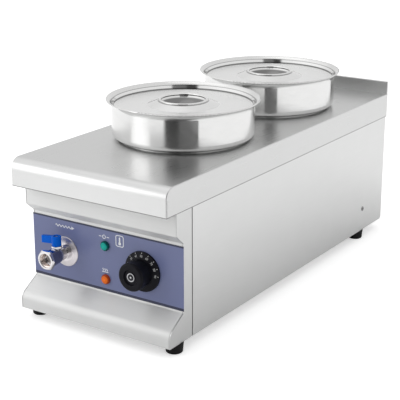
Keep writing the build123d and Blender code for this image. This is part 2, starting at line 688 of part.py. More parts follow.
def capillary_bulb():
    """Thermostat bulb between the element passes, with its capillary back to the thermostat."""
    start = TANK_FRONT + BULB_START
    inside_y = TANK_FRONT_IN + CAPILLARY_WALL_GAP
    outside_y = TANK_FRONT - CAPILLARY_LOOP_GAP
    high = ELEMENT_Z + CAPILLARY_RISE
    points = [
        (BULB_OFFSET, start, ELEMENT_Z),
        (BULB_OFFSET, inside_y, ELEMENT_Z),
        (BULB_OFFSET, inside_y, high),
        (BULB_OFFSET, outside_y, high),
        (KNOB_OFFSET, outside_y, high),
        (KNOB_OFFSET, outside_y, KNOB_Z + CAPILLARY_CAN_RISE),
        (KNOB_OFFSET, CAN_REAR, KNOB_Z + CAPILLARY_CAN_RISE),
    ]
    bulb = rod_y(BULB_RADIUS, BULB_OFFSET, (start, start + BULB_LENGTH), ELEMENT_Z)
    return bulb + tube_along(points, CAPILLARY_BEND, CAPILLARY_RADIUS)


def capillary_gland():
    """Screwed gland that seals the capillary in the tank wall."""
    z = ELEMENT_Z + CAPILLARY_RISE
    head = (TANK_FRONT - CAPILLARY_NUT_LENGTH, TANK_FRONT)
    gland = hex_y(CAPILLARY_NUT_FLATS, BULB_OFFSET, head, z)
    thread_end = TANK_FRONT_IN + SHEET
    gland += rod_y(CAPILLARY_THREAD, BULB_OFFSET, (TANK_FRONT, thread_end), z)
    return gland - rod_y(CAPILLARY_RADIUS + RUNNING_GAP, BULB_OFFSET, (head[0], thread_end), z)


def bulb_clip():
    """Saddle that holds the bulb on the front support of the element."""
    y = span(TANK_FRONT + SUPPORT_PLACES[0] * (TANK_REAR - TANK_FRONT), SUPPORT_WIDTH)
    x = span(BULB_OFFSET, 2 * (BULB_RADIUS + RUNNING_GAP + SHEET))
    saddle = block(x, y, (ELEMENT_Z - ELEMENT_RADIUS, ELEMENT_Z + BULB_RADIUS + SHEET))
    return saddle - rod_y(BULB_RADIUS + RUNNING_GAP, BULB_OFFSET, y, ELEMENT_Z)


def boil_dry_cutout():
    """Bimetal cut-out under the tank floor, on its mounting ears."""
    x = CUTOUT_PLACE[0]
    y = TANK_FRONT + CUTOUT_PLACE[1]
    top = TANK_FLOOR - SHEET
    length, width, ear = CUTOUT_EAR
    cutout = block(span(x, length), span(y, width), (top - ear, top))
    low = top - CUTOUT_HEIGHT
    cutout += rod_z(CUTOUT_RADIUS, x, y, (low, top))
    thickness, breadth, drop = CUTOUT_TAB
    for side in (-1, 1):
        cutout += block(span(x + side * CUTOUT_TAB_SPREAD, thickness), span(y, breadth), (low - drop, low))
    return cutout


def tap_valve_body():
    """Valve body turned on the tap axis: threaded tail, neck, tapered barrel, hexagon outlet and stem boss."""
    x = TAP_OFFSET
    z = CONTROL_Z
    hex_rear = TAP_HEX_REAR
    cavity = BALL_RADIUS + BALL_CAVITY_GAP
    body = rod_y(TAP_TAIL_RADIUS, x, (TAP_SHOULDER_Y, TAP_TAIL_END), z)
    body += rod_y(TAP_NECK_RADIUS, x, (TAP_NECK_FRONT, TAP_SHOULDER_Y), z)
    barrel = Polyline(
        (0, hex_rear),
        (TAP_BARREL_RADIUS, hex_rear),
        (TAP_BARREL_REAR, TAP_NECK_FRONT),
        (0, TAP_NECK_FRONT),
        close=True,
    )
    body += turned_y(barrel, x, z)
    hexagon = hex_y(TAP_HEX_FLATS, x, (TAP_NOZZLE_Y, hex_rear), z)
    corner = TAP_HEX_FLATS / sqrt(3)
    bevel = corner - TAP_HEX_FLATS / 2 + TAP_HEX_BEVEL
    turned = Polyline(
        (0, TAP_NOZZLE_Y),
        (corner - bevel, TAP_NOZZLE_Y),
        (corner, TAP_NOZZLE_Y + bevel * TAP_HEX_BEVEL_SLOPE),
        (corner, hex_rear - bevel),
        (TAP_BARREL_RADIUS, hex_rear),
        (0, hex_rear),
        close=True,
    )
    body += hexagon & turned_y(turned, x, z)
    body += rod_z(STEM_BOSS_RADIUS, x, STEM_Y, (z, STEM_NUT_BOTTOM))
    body -= rod_y(TAP_BORE, x, (TAP_NOZZLE_Y, TAP_NOZZLE_Y + TAP_BORE_DEPTH), z)
    body -= rod_y(cavity, x, (TAP_NOZZLE_Y, STEM_Y + SEAT_LENGTH + BALL_BORE), z)
    body -= rod_y(BALL_BORE, x, (STEM_Y, TAP_TAIL_END), z)
    body -= rod_z(STEM_RADIUS + RUNNING_GAP, x, STEM_Y, (z, STEM_NUT_BOTTOM))
    return body


def ball_seats():
    """Two seat rings, one on each side of the ball."""
    outer = BALL_RADIUS + BALL_CAVITY_GAP - RUNNING_GAP
    ball_room = Pos(TAP_OFFSET, STEM_Y, CONTROL_Z) * Sphere(BALL_RADIUS + BALL_CLEARANCE)
    rings = []
    for side in (-1, 1):
        near = STEM_Y + side * BALL_BORE
        y = both_sides(near, near + side * SEAT_LENGTH)
        ring = rod_y(outer, TAP_OFFSET, y, CONTROL_Z) - rod_y(BALL_BORE, TAP_OFFSET, y, CONTROL_Z)
        rings.append(ring - ball_room)
    return rings


def valve_ball():
    """Ball with its bore across the flow while the lever is closed, and a slot for the stem."""
    ball = Pos(TAP_OFFSET, STEM_Y, CONTROL_Z) * Sphere(BALL_RADIUS)
    x = span(TAP_OFFSET, 2 * BALL_RADIUS)
    ball -= rod_x(BALL_BORE, x, STEM_Y, CONTROL_Z)
    top = CONTROL_Z + BALL_RADIUS
    y = span(STEM_Y, BALL_SLOT_WIDTH + 2 * RUNNING_GAP)
    return ball - block(x, y, (top - BALL_SLOT_DEPTH, top))


def valve_stem():
    """Stem with a tang in the ball's slot, up into the lever."""
    top = CONTROL_Z + BALL_RADIUS
    tang_x = span(TAP_OFFSET, 2 * STEM_RADIUS * STEM_TANG_SHARE)
    tang_z = (top - BALL_SLOT_DEPTH + RUNNING_GAP, top + RUNNING_GAP)
    stem = rod_z(STEM_RADIUS, TAP_OFFSET, STEM_Y, (tang_z[1], LEVER_BORE_TOP))
    return stem + block(tang_x, span(STEM_Y, BALL_SLOT_WIDTH), tang_z)


def stem_nut():
    """Gland nut round the stem."""
    z = (STEM_NUT_BOTTOM, STEM_NUT_BOTTOM + STEM_NUT_HEIGHT)
    nut = hex_z(STEM_NUT_FLATS, TAP_OFFSET, STEM_Y, z)
    return nut - rod_z(STEM_RADIUS + RUNNING_GAP, TAP_OFFSET, STEM_Y, z)


def tap_lever():
    """Moulded lever: a round hub and one upright blade that slopes down to the left when shut."""
    x = TAP_OFFSET
    y = STEM_Y
    hub = rod_z(LEVER_HUB_RADIUS, x, y, (LEVER_BOTTOM, LEVER_TOP))
    hub = fillet(hub.edges().group_by(Axis.Z)[-1], LEVER_HUB_ROUND)
    tip_x = x - LEVER_REACH
    tip_top = LEVER_TOP - LEVER_TIP_DROP
    wing = Polyline(
        (x, LEVER_TOP),
        (tip_x, tip_top),
        (tip_x, tip_top - LEVER_TIP_HEIGHT),
        (x, LEVER_TOP - LEVER_BLADE_HEIGHT),
        close=True,
    )
    blade = Pos(0, y, 0) * extrude(Plane.XZ * make_face(wing), LEVER_BLADE_THICKNESS / 2, both=True)
    blade = fillet(blade.edges().filter_by(Axis.Z).group_by(Axis.X)[0], LEVER_TIP_ROUND)
    lever = hub + blade
    lever -= rod_z(STEM_RADIUS + RUNNING_GAP, x, y, (LEVER_BOTTOM, LEVER_BORE_TOP))
    lever -= rod_z(LEVER_SCREW_RADIUS + SCREW_GAP, x, y, (LEVER_SCREW_SEAT, LEVER_TOP))
    return lever - rod_z(LEVER_SCREW_SHANK + SCREW_GAP, x, y, (LEVER_BORE_TOP, LEVER_SCREW_SEAT))


def lever_screw():
    """Screw that holds the lever on the stem, sunk in the hub."""
    head_z = (LEVER_SCREW_SEAT, LEVER_SCREW_SEAT + LEVER_SCREW_HEAD)
    head = rod_z(LEVER_SCREW_RADIUS, TAP_OFFSET, STEM_Y, head_z)
    return head + rod_z(LEVER_SCREW_SHANK, TAP_OFFSET, STEM_Y, (LEVER_BORE_TOP, LEVER_SCREW_SEAT))


def tap_flange():
    """Round escutcheon between the valve's shoulder and the overlay."""
    front = TAP_SHOULDER_Y
    rear = OVERLAY_FACE
    hole = TAP_TAIL_RADIUS + SCREW_GAP
    edge = TAP_FLANGE_EDGE
    outline = Polyline(
        (hole, front),
        (TAP_NECK_RADIUS + TAP_FLANGE_FLAT, front),
        (TAP_FLANGE_RADIUS - edge, rear - 2 * edge),
        (TAP_FLANGE_RADIUS, rear - edge),
        (TAP_FLANGE_RADIUS, rear),
        (hole, rear),
        close=True,
    )
    return turned_y(outline, TAP_OFFSET, CONTROL_Z)


def tap_lock_nut():
    """Nut that clamps the tap behind the fascia."""
    y = (CONTROL_IN, CONTROL_IN + TAP_NUT_LENGTH)
    return nut_y(TAP_NUT_FLATS, TAP_TAIL_RADIUS + RUNNING_GAP, TAP_OFFSET, y, CONTROL_Z)


def drain_pipe():
    """Pipe from the tank wall to a socket over the tail of the tap."""
    cap = TAP_TAIL_END + DRAIN_SOCKET_CAP
    mouth = cap - DRAIN_SOCKET_LENGTH
    seat = TAP_TAIL_END + DRAIN_SOCKET_GAP
    pipe = rod_y(DRAIN_SOCKET_RADIUS, TAP_OFFSET, (mouth, cap), CONTROL_Z)
    pipe += rod_y(DRAIN_PIPE_RADIUS, TAP_OFFSET, (cap, TANK_FRONT_IN), CONTROL_Z)
    pipe -= rod_y(TAP_TAIL_RADIUS + RUNNING_GAP, TAP_OFFSET, (mouth, seat), CONTROL_Z)
    return pipe - rod_y(DRAIN_PIPE_BORE, TAP_OFFSET, (mouth, TANK_FRONT_IN), CONTROL_Z)


def thermostat_body():
    """Thermostat can with its mounting plate and bush behind the fascia."""
    x = KNOB_OFFSET
    z = KNOB_Z
    plate_x, plate_z = THERMOSTAT_PLATE
    can_x, _, can_z = THERMOSTAT_CAN
    body = block(span(x, plate_x), (CONTROL_IN, CAN_FRONT), span(z, plate_z))
    body += block(span(x, can_x), (CAN_FRONT, CAN_REAR), span(z, can_z))
    body += rod_y(THERMOSTAT_BUSH, x, (CONTROL_SETBACK, CAN_FRONT), z)
    bore = (CONTROL_SETBACK, spindle_span()[1] + SPINDLE_END_GAP)
    body -= rod_y(SPINDLE_RADIUS + RUNNING_GAP, x, bore, z)
    for side in (-1, 1):
        hole_x = x + side * THERMOSTAT_SCREW_REACH
        body -= rod_y(SMALL_SCREW_RADIUS + SCREW_GAP, hole_x, (CONTROL_IN, CAN_FRONT + SHEET), z)
    return body


def thermostat_screws():
    """Two screws through the overlay into the thermostat's plate, under the dial."""
    screws = []
    for side in (-1, 1):
        x = KNOB_OFFSET + side * THERMOSTAT_SCREW_REACH
        head = rod_y(SMALL_HEAD_RADIUS, x, (OVERLAY_FACE - SMALL_HEAD_HEIGHT, OVERLAY_FACE), KNOB_Z)
        shank = (OVERLAY_FACE, OVERLAY_FACE + SMALL_SCREW_LENGTH)
        screws.append(head + rod_y(SMALL_SCREW_RADIUS, x, shank, KNOB_Z))
    return screws


def thermostat_knob():
    """Black knob: a shallow conical dial, a round cap with a soft edge and a recess in its face."""
    dial_rear = OVERLAY_FACE - DIAL_GAP
    dial_edge = dial_rear - DIAL_EDGE
    dial_root = dial_edge - DIAL_RISE
    cap_front = CAP_RADIUS + CAP_FLARE
    round_y = CAP_FACE_Y + CAP_ROUND
    recess_roof = dial_rear - DIAL_RECESS_DEPTH
    recess_floor = CAP_FACE_Y + CAP_RECESS_DEPTH
    start = (cap_front - CAP_ROUND, CAP_FACE_Y)
    end = (cap_front, round_y)
    face = Line((CAP_RECESS_RADIUS, CAP_FACE_Y), start)
    soft_edge = RadiusArc(start, end, -CAP_ROUND)
    rest = Polyline(
        end,
        (CAP_RADIUS, dial_root),
        (DIAL_RADIUS, dial_edge),
        (DIAL_RADIUS, dial_rear),
        (DIAL_RECESS_RADIUS, dial_rear),
        (DIAL_RECESS_RADIUS, recess_roof),
        (KNOB_BOSS_RADIUS, recess_roof),
        (KNOB_BOSS_RADIUS, dial_rear),
        (0, dial_rear),
        (0, recess_floor),
        (CAP_RECESS_RADIUS - CAP_RECESS_TAPER, recess_floor),
        (CAP_RECESS_RADIUS, CAP_FACE_Y),
    )
    knob = turned_y([face, soft_edge, rest], KNOB_OFFSET, KNOB_Z)
    bore = (spindle_span()[0], dial_rear)
    return knob - rod_y(SPINDLE_RADIUS + RUNNING_GAP, KNOB_OFFSET, bore, KNOB_Z)


def spindle_span():
    """Limits of the spindle along y."""
    rear = CAN_FRONT + SPINDLE_INSIDE
    return rear - SPINDLE_LENGTH, rear


def thermostat_spindle():
    """Spindle that the knob sits on."""
    return rod_y(SPINDLE_RADIUS, KNOB_OFFSET, spindle_span(), KNOB_Z)


def knob_disc():
    """Plain ring disc in the recess of the knob's face."""
    floor = CAP_FACE_Y + CAP_RECESS_DEPTH
    y = (floor - CAP_DISC_THICKNESS, floor)
    disc = rod_y(CAP_DISC_RADIUS, KNOB_OFFSET, y, KNOB_Z)
    groove = (y[0], y[0] + CAP_DISC_THICKNESS / 2)
    inner, outer = (rod_y(CAP_DISC_RADIUS * share, KNOB_OFFSET, groove, KNOB_Z) for share in CAP_DISC_GROOVE)
    return disc - (outer - inner)


def lamp_lens(z):
    """Round lens with a soft edge and a slightly crowned face."""
    front = OVERLAY_FACE - LAMP_LENS_HEIGHT
    face_edge = (LAMP_LENS_RADIUS - LAMP_LENS_EDGE, front + LAMP_LENS_CROWN)
    face = ThreePointArc((-face_edge[0], face_edge[1]), (0, front), face_edge).trim(0.5, 1)
    rest = Polyline(
        face_edge,
        (LAMP_LENS_RADIUS, face_edge[1] + LAMP_LENS_EDGE),
        (LAMP_LENS_RADIUS, OVERLAY_FACE),
        (0, OVERLAY_FACE),
        (0, front),
    )
    return turned_y([face, rest], LAMP_OFFSET, z)


def lamp_body(z):
    """Lamp barrel through the panel, with two tabs at its rear."""
    rear = OVERLAY_FACE + LAMP_BODY_LENGTH
    body = rod_y(LAMP_BODY_RADIUS, LAMP_OFFSET, (OVERLAY_FACE, rear), z)
    thickness, length, height = LAMP_TAB
    for side in (-1, 1):
        x = LAMP_OFFSET + side * LAMP_TAB_SPREAD
        body += block(span(x, thickness), (rear, rear + length), span(z, height))
    return body


def lamp_nuts():
    """Nuts that hold the lamps behind the fascia."""
    y = (CONTROL_IN, CONTROL_IN + LAMP_NUT_LENGTH)
    hole = LAMP_BODY_RADIUS + RUNNING_GAP
    return [nut_y(LAMP_NUT_FLATS, hole, LAMP_OFFSET, y, z) for z in LAMP_PLACES.values()]


def pot_edges(wall):
    """Edges of a pot's section from the middle of its floor to its rim, drawn in by a wall thickness."""
    lower = POT_LOWER_RADIUS - wall
    floor = -POT_DROP + wall
    floor_edge = (POT_LOWER_RADIUS - POT_BOTTOM_ROUND, floor)
    wall_foot = (lower, -POT_DROP + POT_BOTTOM_ROUND)
    shoulder = (POT_RADIUS - POT_SHOULDER_ROUND, wall)
    upper_foot = (POT_RADIUS - wall, POT_SHOULDER_ROUND)
    flare = POT_FLARE_RADIUS + wall
    flare_centre = POT_RADIUS + POT_FLARE_RADIUS

    def on_flare(angle):
        return flare_centre - flare * cos(radians(angle)), POT_FLARE_START + flare * sin(radians(angle))

    end = on_flare(POT_FLARE_ANGLE)
    edges = [
        Line((0, floor), floor_edge),
        RadiusArc(floor_edge, wall_foot, -(POT_BOTTOM_ROUND - wall)),
        Polyline(wall_foot, (lower, wall), shoulder),
        RadiusArc(shoulder, upper_foot, -(POT_SHOULDER_ROUND - wall)),
        Line(upper_foot, on_flare(0)),
        ThreePointArc(on_flare(0), on_flare(POT_FLARE_ANGLE / 2), end),
    ]
    return edges, end


def pot(y):
    """Stepped pot with a rolled rim: its shoulder rests on the raised seat round the hole."""
    outer, outer_end = pot_edges(0)
    inner, inner_end = pot_edges(POT_WALL)
    closing = [Line(outer_end, inner_end), Line((0, -POT_DROP), (0, -POT_DROP + POT_WALL))]
    shell = turned_z([*outer, *inner, *closing], 0, y, POT_SEAT)
    bead = ((outer_end[0] + inner_end[0]) / 2, (outer_end[1] + inner_end[1]) / 2 - POT_BEAD / 2)
    return shell + Pos(0, y, POT_SEAT + bead[1]) * Torus(bead[0], POT_BEAD)


def lid(y):
    """Flat lid with a round hole for its knob and a lip that seats in the pot's flare."""
    low = LID_PLANE - LID_SHEET
    wall_in = POT_RADIUS - POT_WALL - LID_WALL_GAP
    flare_x = POT_RADIUS + POT_FLARE_RADIUS
    lip_top = LID_PLANE + LID_LIP_HEIGHT
    seat = POT_FLARE_RADIUS + POT_WALL + LID_SEAT_GAP
    lip_x = flare_x - sqrt(seat**2 - (lip_top - POT_FLARE_START) ** 2)
    hole = LID_KNOB_RADIUS - 2 * LID_KNOB_BEAD
    outline = Polyline(
        (hole, low),
        (wall_in, low),
        (lip_x, lip_top),
        (lip_x - LID_SHEET, lip_top + LID_LIP_TILT),
        (wall_in - LID_SHEET, LID_PLANE),
        (hole, LID_PLANE),
        close=True,
    )
    return turned_z(outline, 0, y, POT_SEAT)


def lid_knob(y):
    """Round cup sunk through the lid, with a rolled edge on a cone that is welded down at its foot."""
    base = POT_SEAT + LID_PLANE
    bead_radius = LID_KNOB_RADIUS - LID_KNOB_BEAD
    rim_z = LID_KNOB_HEIGHT - LID_KNOB_BEAD
    rim = bead_radius - LID_SHEET / 2
    deep = rim_z + LID_KNOB_SINK
    bend = ((rim - LID_KNOB_FLOOR) ** 2 + deep**2) / (2 * deep)
    middle = (LID_KNOB_FLOOR, bend - LID_KNOB_SINK)

    def cup_wall(radius):
        return CenterArc(middle, radius, -90, degrees(acos((bend - deep) / radius)))

    inner = cup_wall(bend)
    outer = cup_wall(bend + LID_SHEET)
    low = (0, -LID_KNOB_SINK - LID_SHEET)
    cup = [
        Polyline(inner @ 0, (0, -LID_KNOB_SINK), low, outer @ 0),
        inner,
        outer,
        Line(inner @ 1, outer @ 1),
    ]
    run = LID_KNOB_FOOT - bead_radius
    drop = LID_SHEET * hypot(run, rim_z) / run
    cone = Polyline(
        (LID_KNOB_FOOT, 0),
        (bead_radius, rim_z),
        (bead_radius, rim_z - drop),
        (LID_KNOB_FOOT - drop * run / rim_z, 0),
        close=True,
    )
    knob = turned_z(cup, 0, y, base) + turned_z(cone, 0, y, base)
    return knob + Pos(0, y, base + rim_z) * Torus(bead_radius, LID_KNOB_BEAD)


def terminal_block():
    """Screw terminal block on the base tray behind the tank."""
    length, width, height = TERMINAL_BLOCK
    y = terminal_front()
    x = span(TERMINAL_OFFSET, length)
    top = BASE_TOP + height
    body = block(x, (y, y + width), (BASE_TOP, top))
    well, depth = TERMINAL_WELL
    for pole in range(TERMINAL_POLES):
        pole_x = x[0] + (pole + 1 / 2) * length / TERMINAL_POLES
        body -= rod_z(well, pole_x, y + width / 2, (top - depth, top))
    return body


def terminal_front():
    """Front face of the terminal block along y."""
    return TANK_REAR + TERMINAL_GAP


def leads():
    """Insulated leads from the terminal block to the lamps, the thermostat and the element."""
    low = BASE_TOP + LEAD_LIFT
    rear = terminal_front()
    pin_y = TANK_FRONT - ELEMENT_STICK_OUT - ELEMENT_PIN_LENGTH / 2
    pin_z = ELEMENT_Z - ELEMENT_PIN_RADIUS - SCREW_GAP
    lamp_y = OVERLAY_FACE + LAMP_BODY_LENGTH + LAMP_TAB[1]
    can_bottom = KNOB_Z - THERMOSTAT_CAN[2] / 2
    can_y = (CAN_FRONT + CAN_REAR) / 2
    first, last = ELEMENT_PASSES[0], ELEMENT_PASSES[-1]
    drop = can_bottom - LEAD_DROP
    feed = KNOB_OFFSET - LEAD_SPREAD
    load = KNOB_OFFSET + LEAD_SPREAD
    routes = [
        [(last, rear, low), (last, pin_y, low), (last, pin_y, pin_z)],
        [(feed, rear, low), (feed, can_y, low), (feed, can_y, can_bottom)],
        [(load, can_y, can_bottom), (load, can_y, drop), (first, pin_y, drop), (first, pin_y, pin_z)],
    ]
    for name, (x, back) in LEAD_LAMP_LOOPS.items():
        z = LAMP_PLACES[name]
        turn = lamp_y + back
        routes.append([(x, lamp_y, z), (x, turn, z), (x, turn, low), (x, rear, low)])
    return [tube_along(route, LEAD_BEND, LEAD_RADIUS) for route in routes]


def cable_gland():
    """Gland for the mains lead in the rear panel, and its nut inside."""
    x = GLAND_OFFSET
    z = GLAND_HEIGHT
    hex_end = REAR_OUT + GLAND_HEX_LENGTH
    end = REAR_OUT + GLAND_REACH
    body = hex_y(GLAND_FLATS, x, (REAR_OUT, hex_end), z)
    dome = Polyline(
        (0, hex_end),
        (GLAND_DOME_RADIUS, hex_end),
        (GLAND_DOME_RADIUS, end - GLAND_CROWN),
        (GLAND_MOUTH, end),
        (0, end),
        close=True,
    )
    body += turned_y(dome, x, z)
    nut_front = REAR_IN - GLAND_NUT_LENGTH
    thread_front = nut_front - GLAND_THREAD_TIP
    body += rod_y(GLAND_THREAD, x, (thread_front, REAR_OUT), z)
    body -= rod_y(GLAND_BORE, x, (thread_front, end), z)
    return body, nut_y(GLAND_NUT_FLATS, GLAND_THREAD + RUNNING_GAP, x, (nut_front, REAR_IN), z)


def bonding_stud():
    """Stud for the bonding conductor on the rear panel, and its three nuts."""
    stud = rod_y(STUD_RADIUS, STUD_OFFSET, (REAR_IN - STUD_INSIDE, REAR_OUT + STUD_REACH), STUD_HEIGHT)
    second = REAR_OUT + STUD_NUT_LENGTH + STUD_NUT_GAP
    spans = [
        (REAR_IN - STUD_NUT_LENGTH, REAR_IN),
        (REAR_OUT, REAR_OUT + STUD_NUT_LENGTH),
        (second, second + STUD_NUT_LENGTH),
    ]
    hole = STUD_RADIUS + RUNNING_GAP
    return stud, [nut_y(STUD_NUT_FLATS, hole, STUD_OFFSET, y, STUD_HEIGHT) for y in spans]


def cabinet_nodes():
    """Sheet-metal pieces of the cabinet, its feet and its screws."""
    right_cheek = cheek()
    right_side = side_panel()
    side_screws, rear_screws = cabinet_screws()
    pads, foot_screws, foot_nuts = feet()
    return {
        "worktop": worktop(),
        "front_fascia": fascia(),
        "right_cheek": right_cheek,
        "left_cheek": mirrored(right_cheek),
        "control_overlay": control_overlay(),
        "right_side_panel": right_side,
        "left_side_panel": mirrored(right_side),
        "rear_panel": rear_panel(),
        "base_tray": base_tray(),
        "side_screws": side_screws,
        "rear_screws": rear_screws,
        "feet": pads,
        "foot_screws": foot_screws,
        "foot_nuts": foot_nuts,
    }


def heating_nodes():
    """Tank, heating element, bulb and cut-out."""
    element, bushes, gaskets, nuts = heating_element()
    return {
        "water_tank": water_tank(),
        "heating_element": element,
        "element_bushes": bushes,
        "element_gaskets": gaskets,
        "element_nuts": nuts,
        "element_supports": element_supports(),
        "thermostat_bulb": capillary_bulb(),
        "capillary_gland": capillary_gland(),
        "bulb_clip": bulb_clip(),
        "boil_dry_cutout": boil_dry_cutout(),
    }


def tap_nodes():
    """Drain pipe and tap."""
    return {
        "drain_pipe": drain_pipe(),
        "tap_lock_nut": tap_lock_nut(),
        "tap_flange": tap_flange(),
        "valve_body": tap_valve_body(),
        "ball_seats": ball_seats(),
        "valve_ball": valve_ball(),
        "valve_stem": valve_stem(),
        "stem_nut": stem_nut(),
        "tap_lever": tap_lever(),
        "lever_screw": lever_screw(),
    }


def control_nodes():
    """Thermostat, knob, lamps and wiring."""
    gland, gland_nut = cable_gland()
    stud, stud_nuts = bonding_stud()
    nodes = {
        "thermostat_body": thermostat_body(),
        "thermostat_screws": thermostat_screws(),
        "thermostat_spindle": thermostat_spindle(),
        "thermostat_knob": thermostat_knob(),
        "knob_disc": knob_disc(),
        "lamp_nuts": lamp_nuts(),
        "terminal_block": terminal_block(),
        "internal_leads": leads(),
        "cable_gland": gland,
        "gland_nut": gland_nut,
        "bonding_stud": stud,
        "bonding_nuts": stud_nuts,
    }
    for name, z in LAMP_PLACES.items():
        nodes[f"{name}_lamp_lens"] = lamp_lens(z)
        nodes[f"{name}_lamp_body"] = lamp_body(z)
    return nodes


def pot_nodes():
    """Pots, lids and lid knobs."""
    nodes = {}
    for name, y in POT_PLACES.items():
        nodes[f"{name}_pot"] = pot(y)
        nodes[f"{name}_lid"] = lid(y)
        nodes[f"{name}_lid_knob"] = lid_knob(y)
    return nodes


def main():
    """Write one file for each node."""
    os.makedirs("parts", exist_ok=True)
    nodes = {**cabinet_nodes(), **heating_nodes(), **tap_nodes(), **control_nodes(), **pot_nodes()}
    for name, shape in nodes.items():
        solids = shape if isinstance(shape, list) else [shape]
        placed = [Pos(0, -MIDDLE_Y, 0) * solid for solid in solids]
        whole = Compound(children=placed) if len(placed) > 1 else placed[0]
        export_step(whole, f"parts/{name}.step")
    print(f"{len(nodes)} nodes, middle of the object {MIDDLE_Y:.2f} mm behind the worktop's front face")


main()
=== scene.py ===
"""Bain marie with two lidded pots: its finishes, its fine pieces, a studio and a camera.

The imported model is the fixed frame. It is in metres, with x to the right, y to the rear and z up, and its
origin lies on the ground under the middle of the whole.
"""

import logging
import math
from abc import ABC, abstractmethod
from dataclasses import dataclass, field
from enum import Enum
from typing import Callable, Optional, Sequence, Union

import bmesh
import bpy
from mathutils import Matrix, Vector


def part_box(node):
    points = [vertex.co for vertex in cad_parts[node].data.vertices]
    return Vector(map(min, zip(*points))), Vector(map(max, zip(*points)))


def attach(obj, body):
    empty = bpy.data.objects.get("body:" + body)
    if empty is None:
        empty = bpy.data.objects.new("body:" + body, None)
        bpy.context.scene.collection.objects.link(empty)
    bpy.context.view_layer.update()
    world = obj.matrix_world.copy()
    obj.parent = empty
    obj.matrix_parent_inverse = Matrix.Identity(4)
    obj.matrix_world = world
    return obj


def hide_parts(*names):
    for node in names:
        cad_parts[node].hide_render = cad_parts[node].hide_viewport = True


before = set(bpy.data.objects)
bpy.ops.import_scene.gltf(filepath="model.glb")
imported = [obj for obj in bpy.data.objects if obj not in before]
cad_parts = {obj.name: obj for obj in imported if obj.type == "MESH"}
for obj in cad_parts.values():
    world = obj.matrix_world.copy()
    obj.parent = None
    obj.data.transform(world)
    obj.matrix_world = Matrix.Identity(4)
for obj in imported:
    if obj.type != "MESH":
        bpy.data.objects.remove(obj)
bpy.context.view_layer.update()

LOG = logging.getLogger("bain_marie")
MM = 0.001
MICRON = 0.001 * MM
ENDLESS = 1.0e6
ORIGIN = (0.0, 0.0, 0.0)
UPWARD = (0.0, 0.0, 1.0)
QUARTER_TURN = 0.25
TURNING_PITCH = 1.6 * MM
TURNING_PLAY = 0.02
ONE_RING_SCALE = 0.314
CORNER_STEPS = 8
WIPED_GREY = (0.2, 0.2, 0.2)

Colour = tuple[float, float, float]
Triple = tuple[float, float, float]
Point = tuple[float, float]
Loop = list[Point]
Mesh = bpy.types.Mesh
Node = bpy.types.Node
Piece = bpy.types.Object
Socket = bpy.types.NodeSocket
Feed = Union[Socket, float, int, tuple]


class Grain(Enum):
    """The way the brushing runs on a steel sheet, as the size of one stroke in metres."""

    ALONG_X = (0.060, 0.0007, 0.0007)
    ALONG_Y = (0.0007, 0.060, 0.0007)
    ALONG_Z = (0.0007, 0.0007, 0.060)


class Body(Enum):
    """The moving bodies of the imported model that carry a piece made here."""

    CABINET = "cabinet"
    THERMOSTAT = "thermostat_control"


class Facing(Enum):
    """The way a screw head faces, as the turn that takes +Z there."""

    LEFT = (0.0, -math.pi / 2, 0.0)
    RIGHT = (0.0, math.pi / 2, 0.0)
    REAR = (-math.pi / 2, 0.0, 0.0)


class Ramp(Enum):
    """The way a ramp's colours change from stop to stop."""

    EASED = "EASE"
    EVEN = "LINEAR"
    STEPPED = "CONSTANT"


class LampTint(Enum):
    """A lamp lens's colours, over the lamp and at its rim; the deeper rim is painted shade."""

    GREEN = ((0.0, 0.34, 0.285), (0.0, 0.075, 0.075))
    ORANGE = ((0.78, 0.145, 0.008), (0.38, 0.05, 0.01))


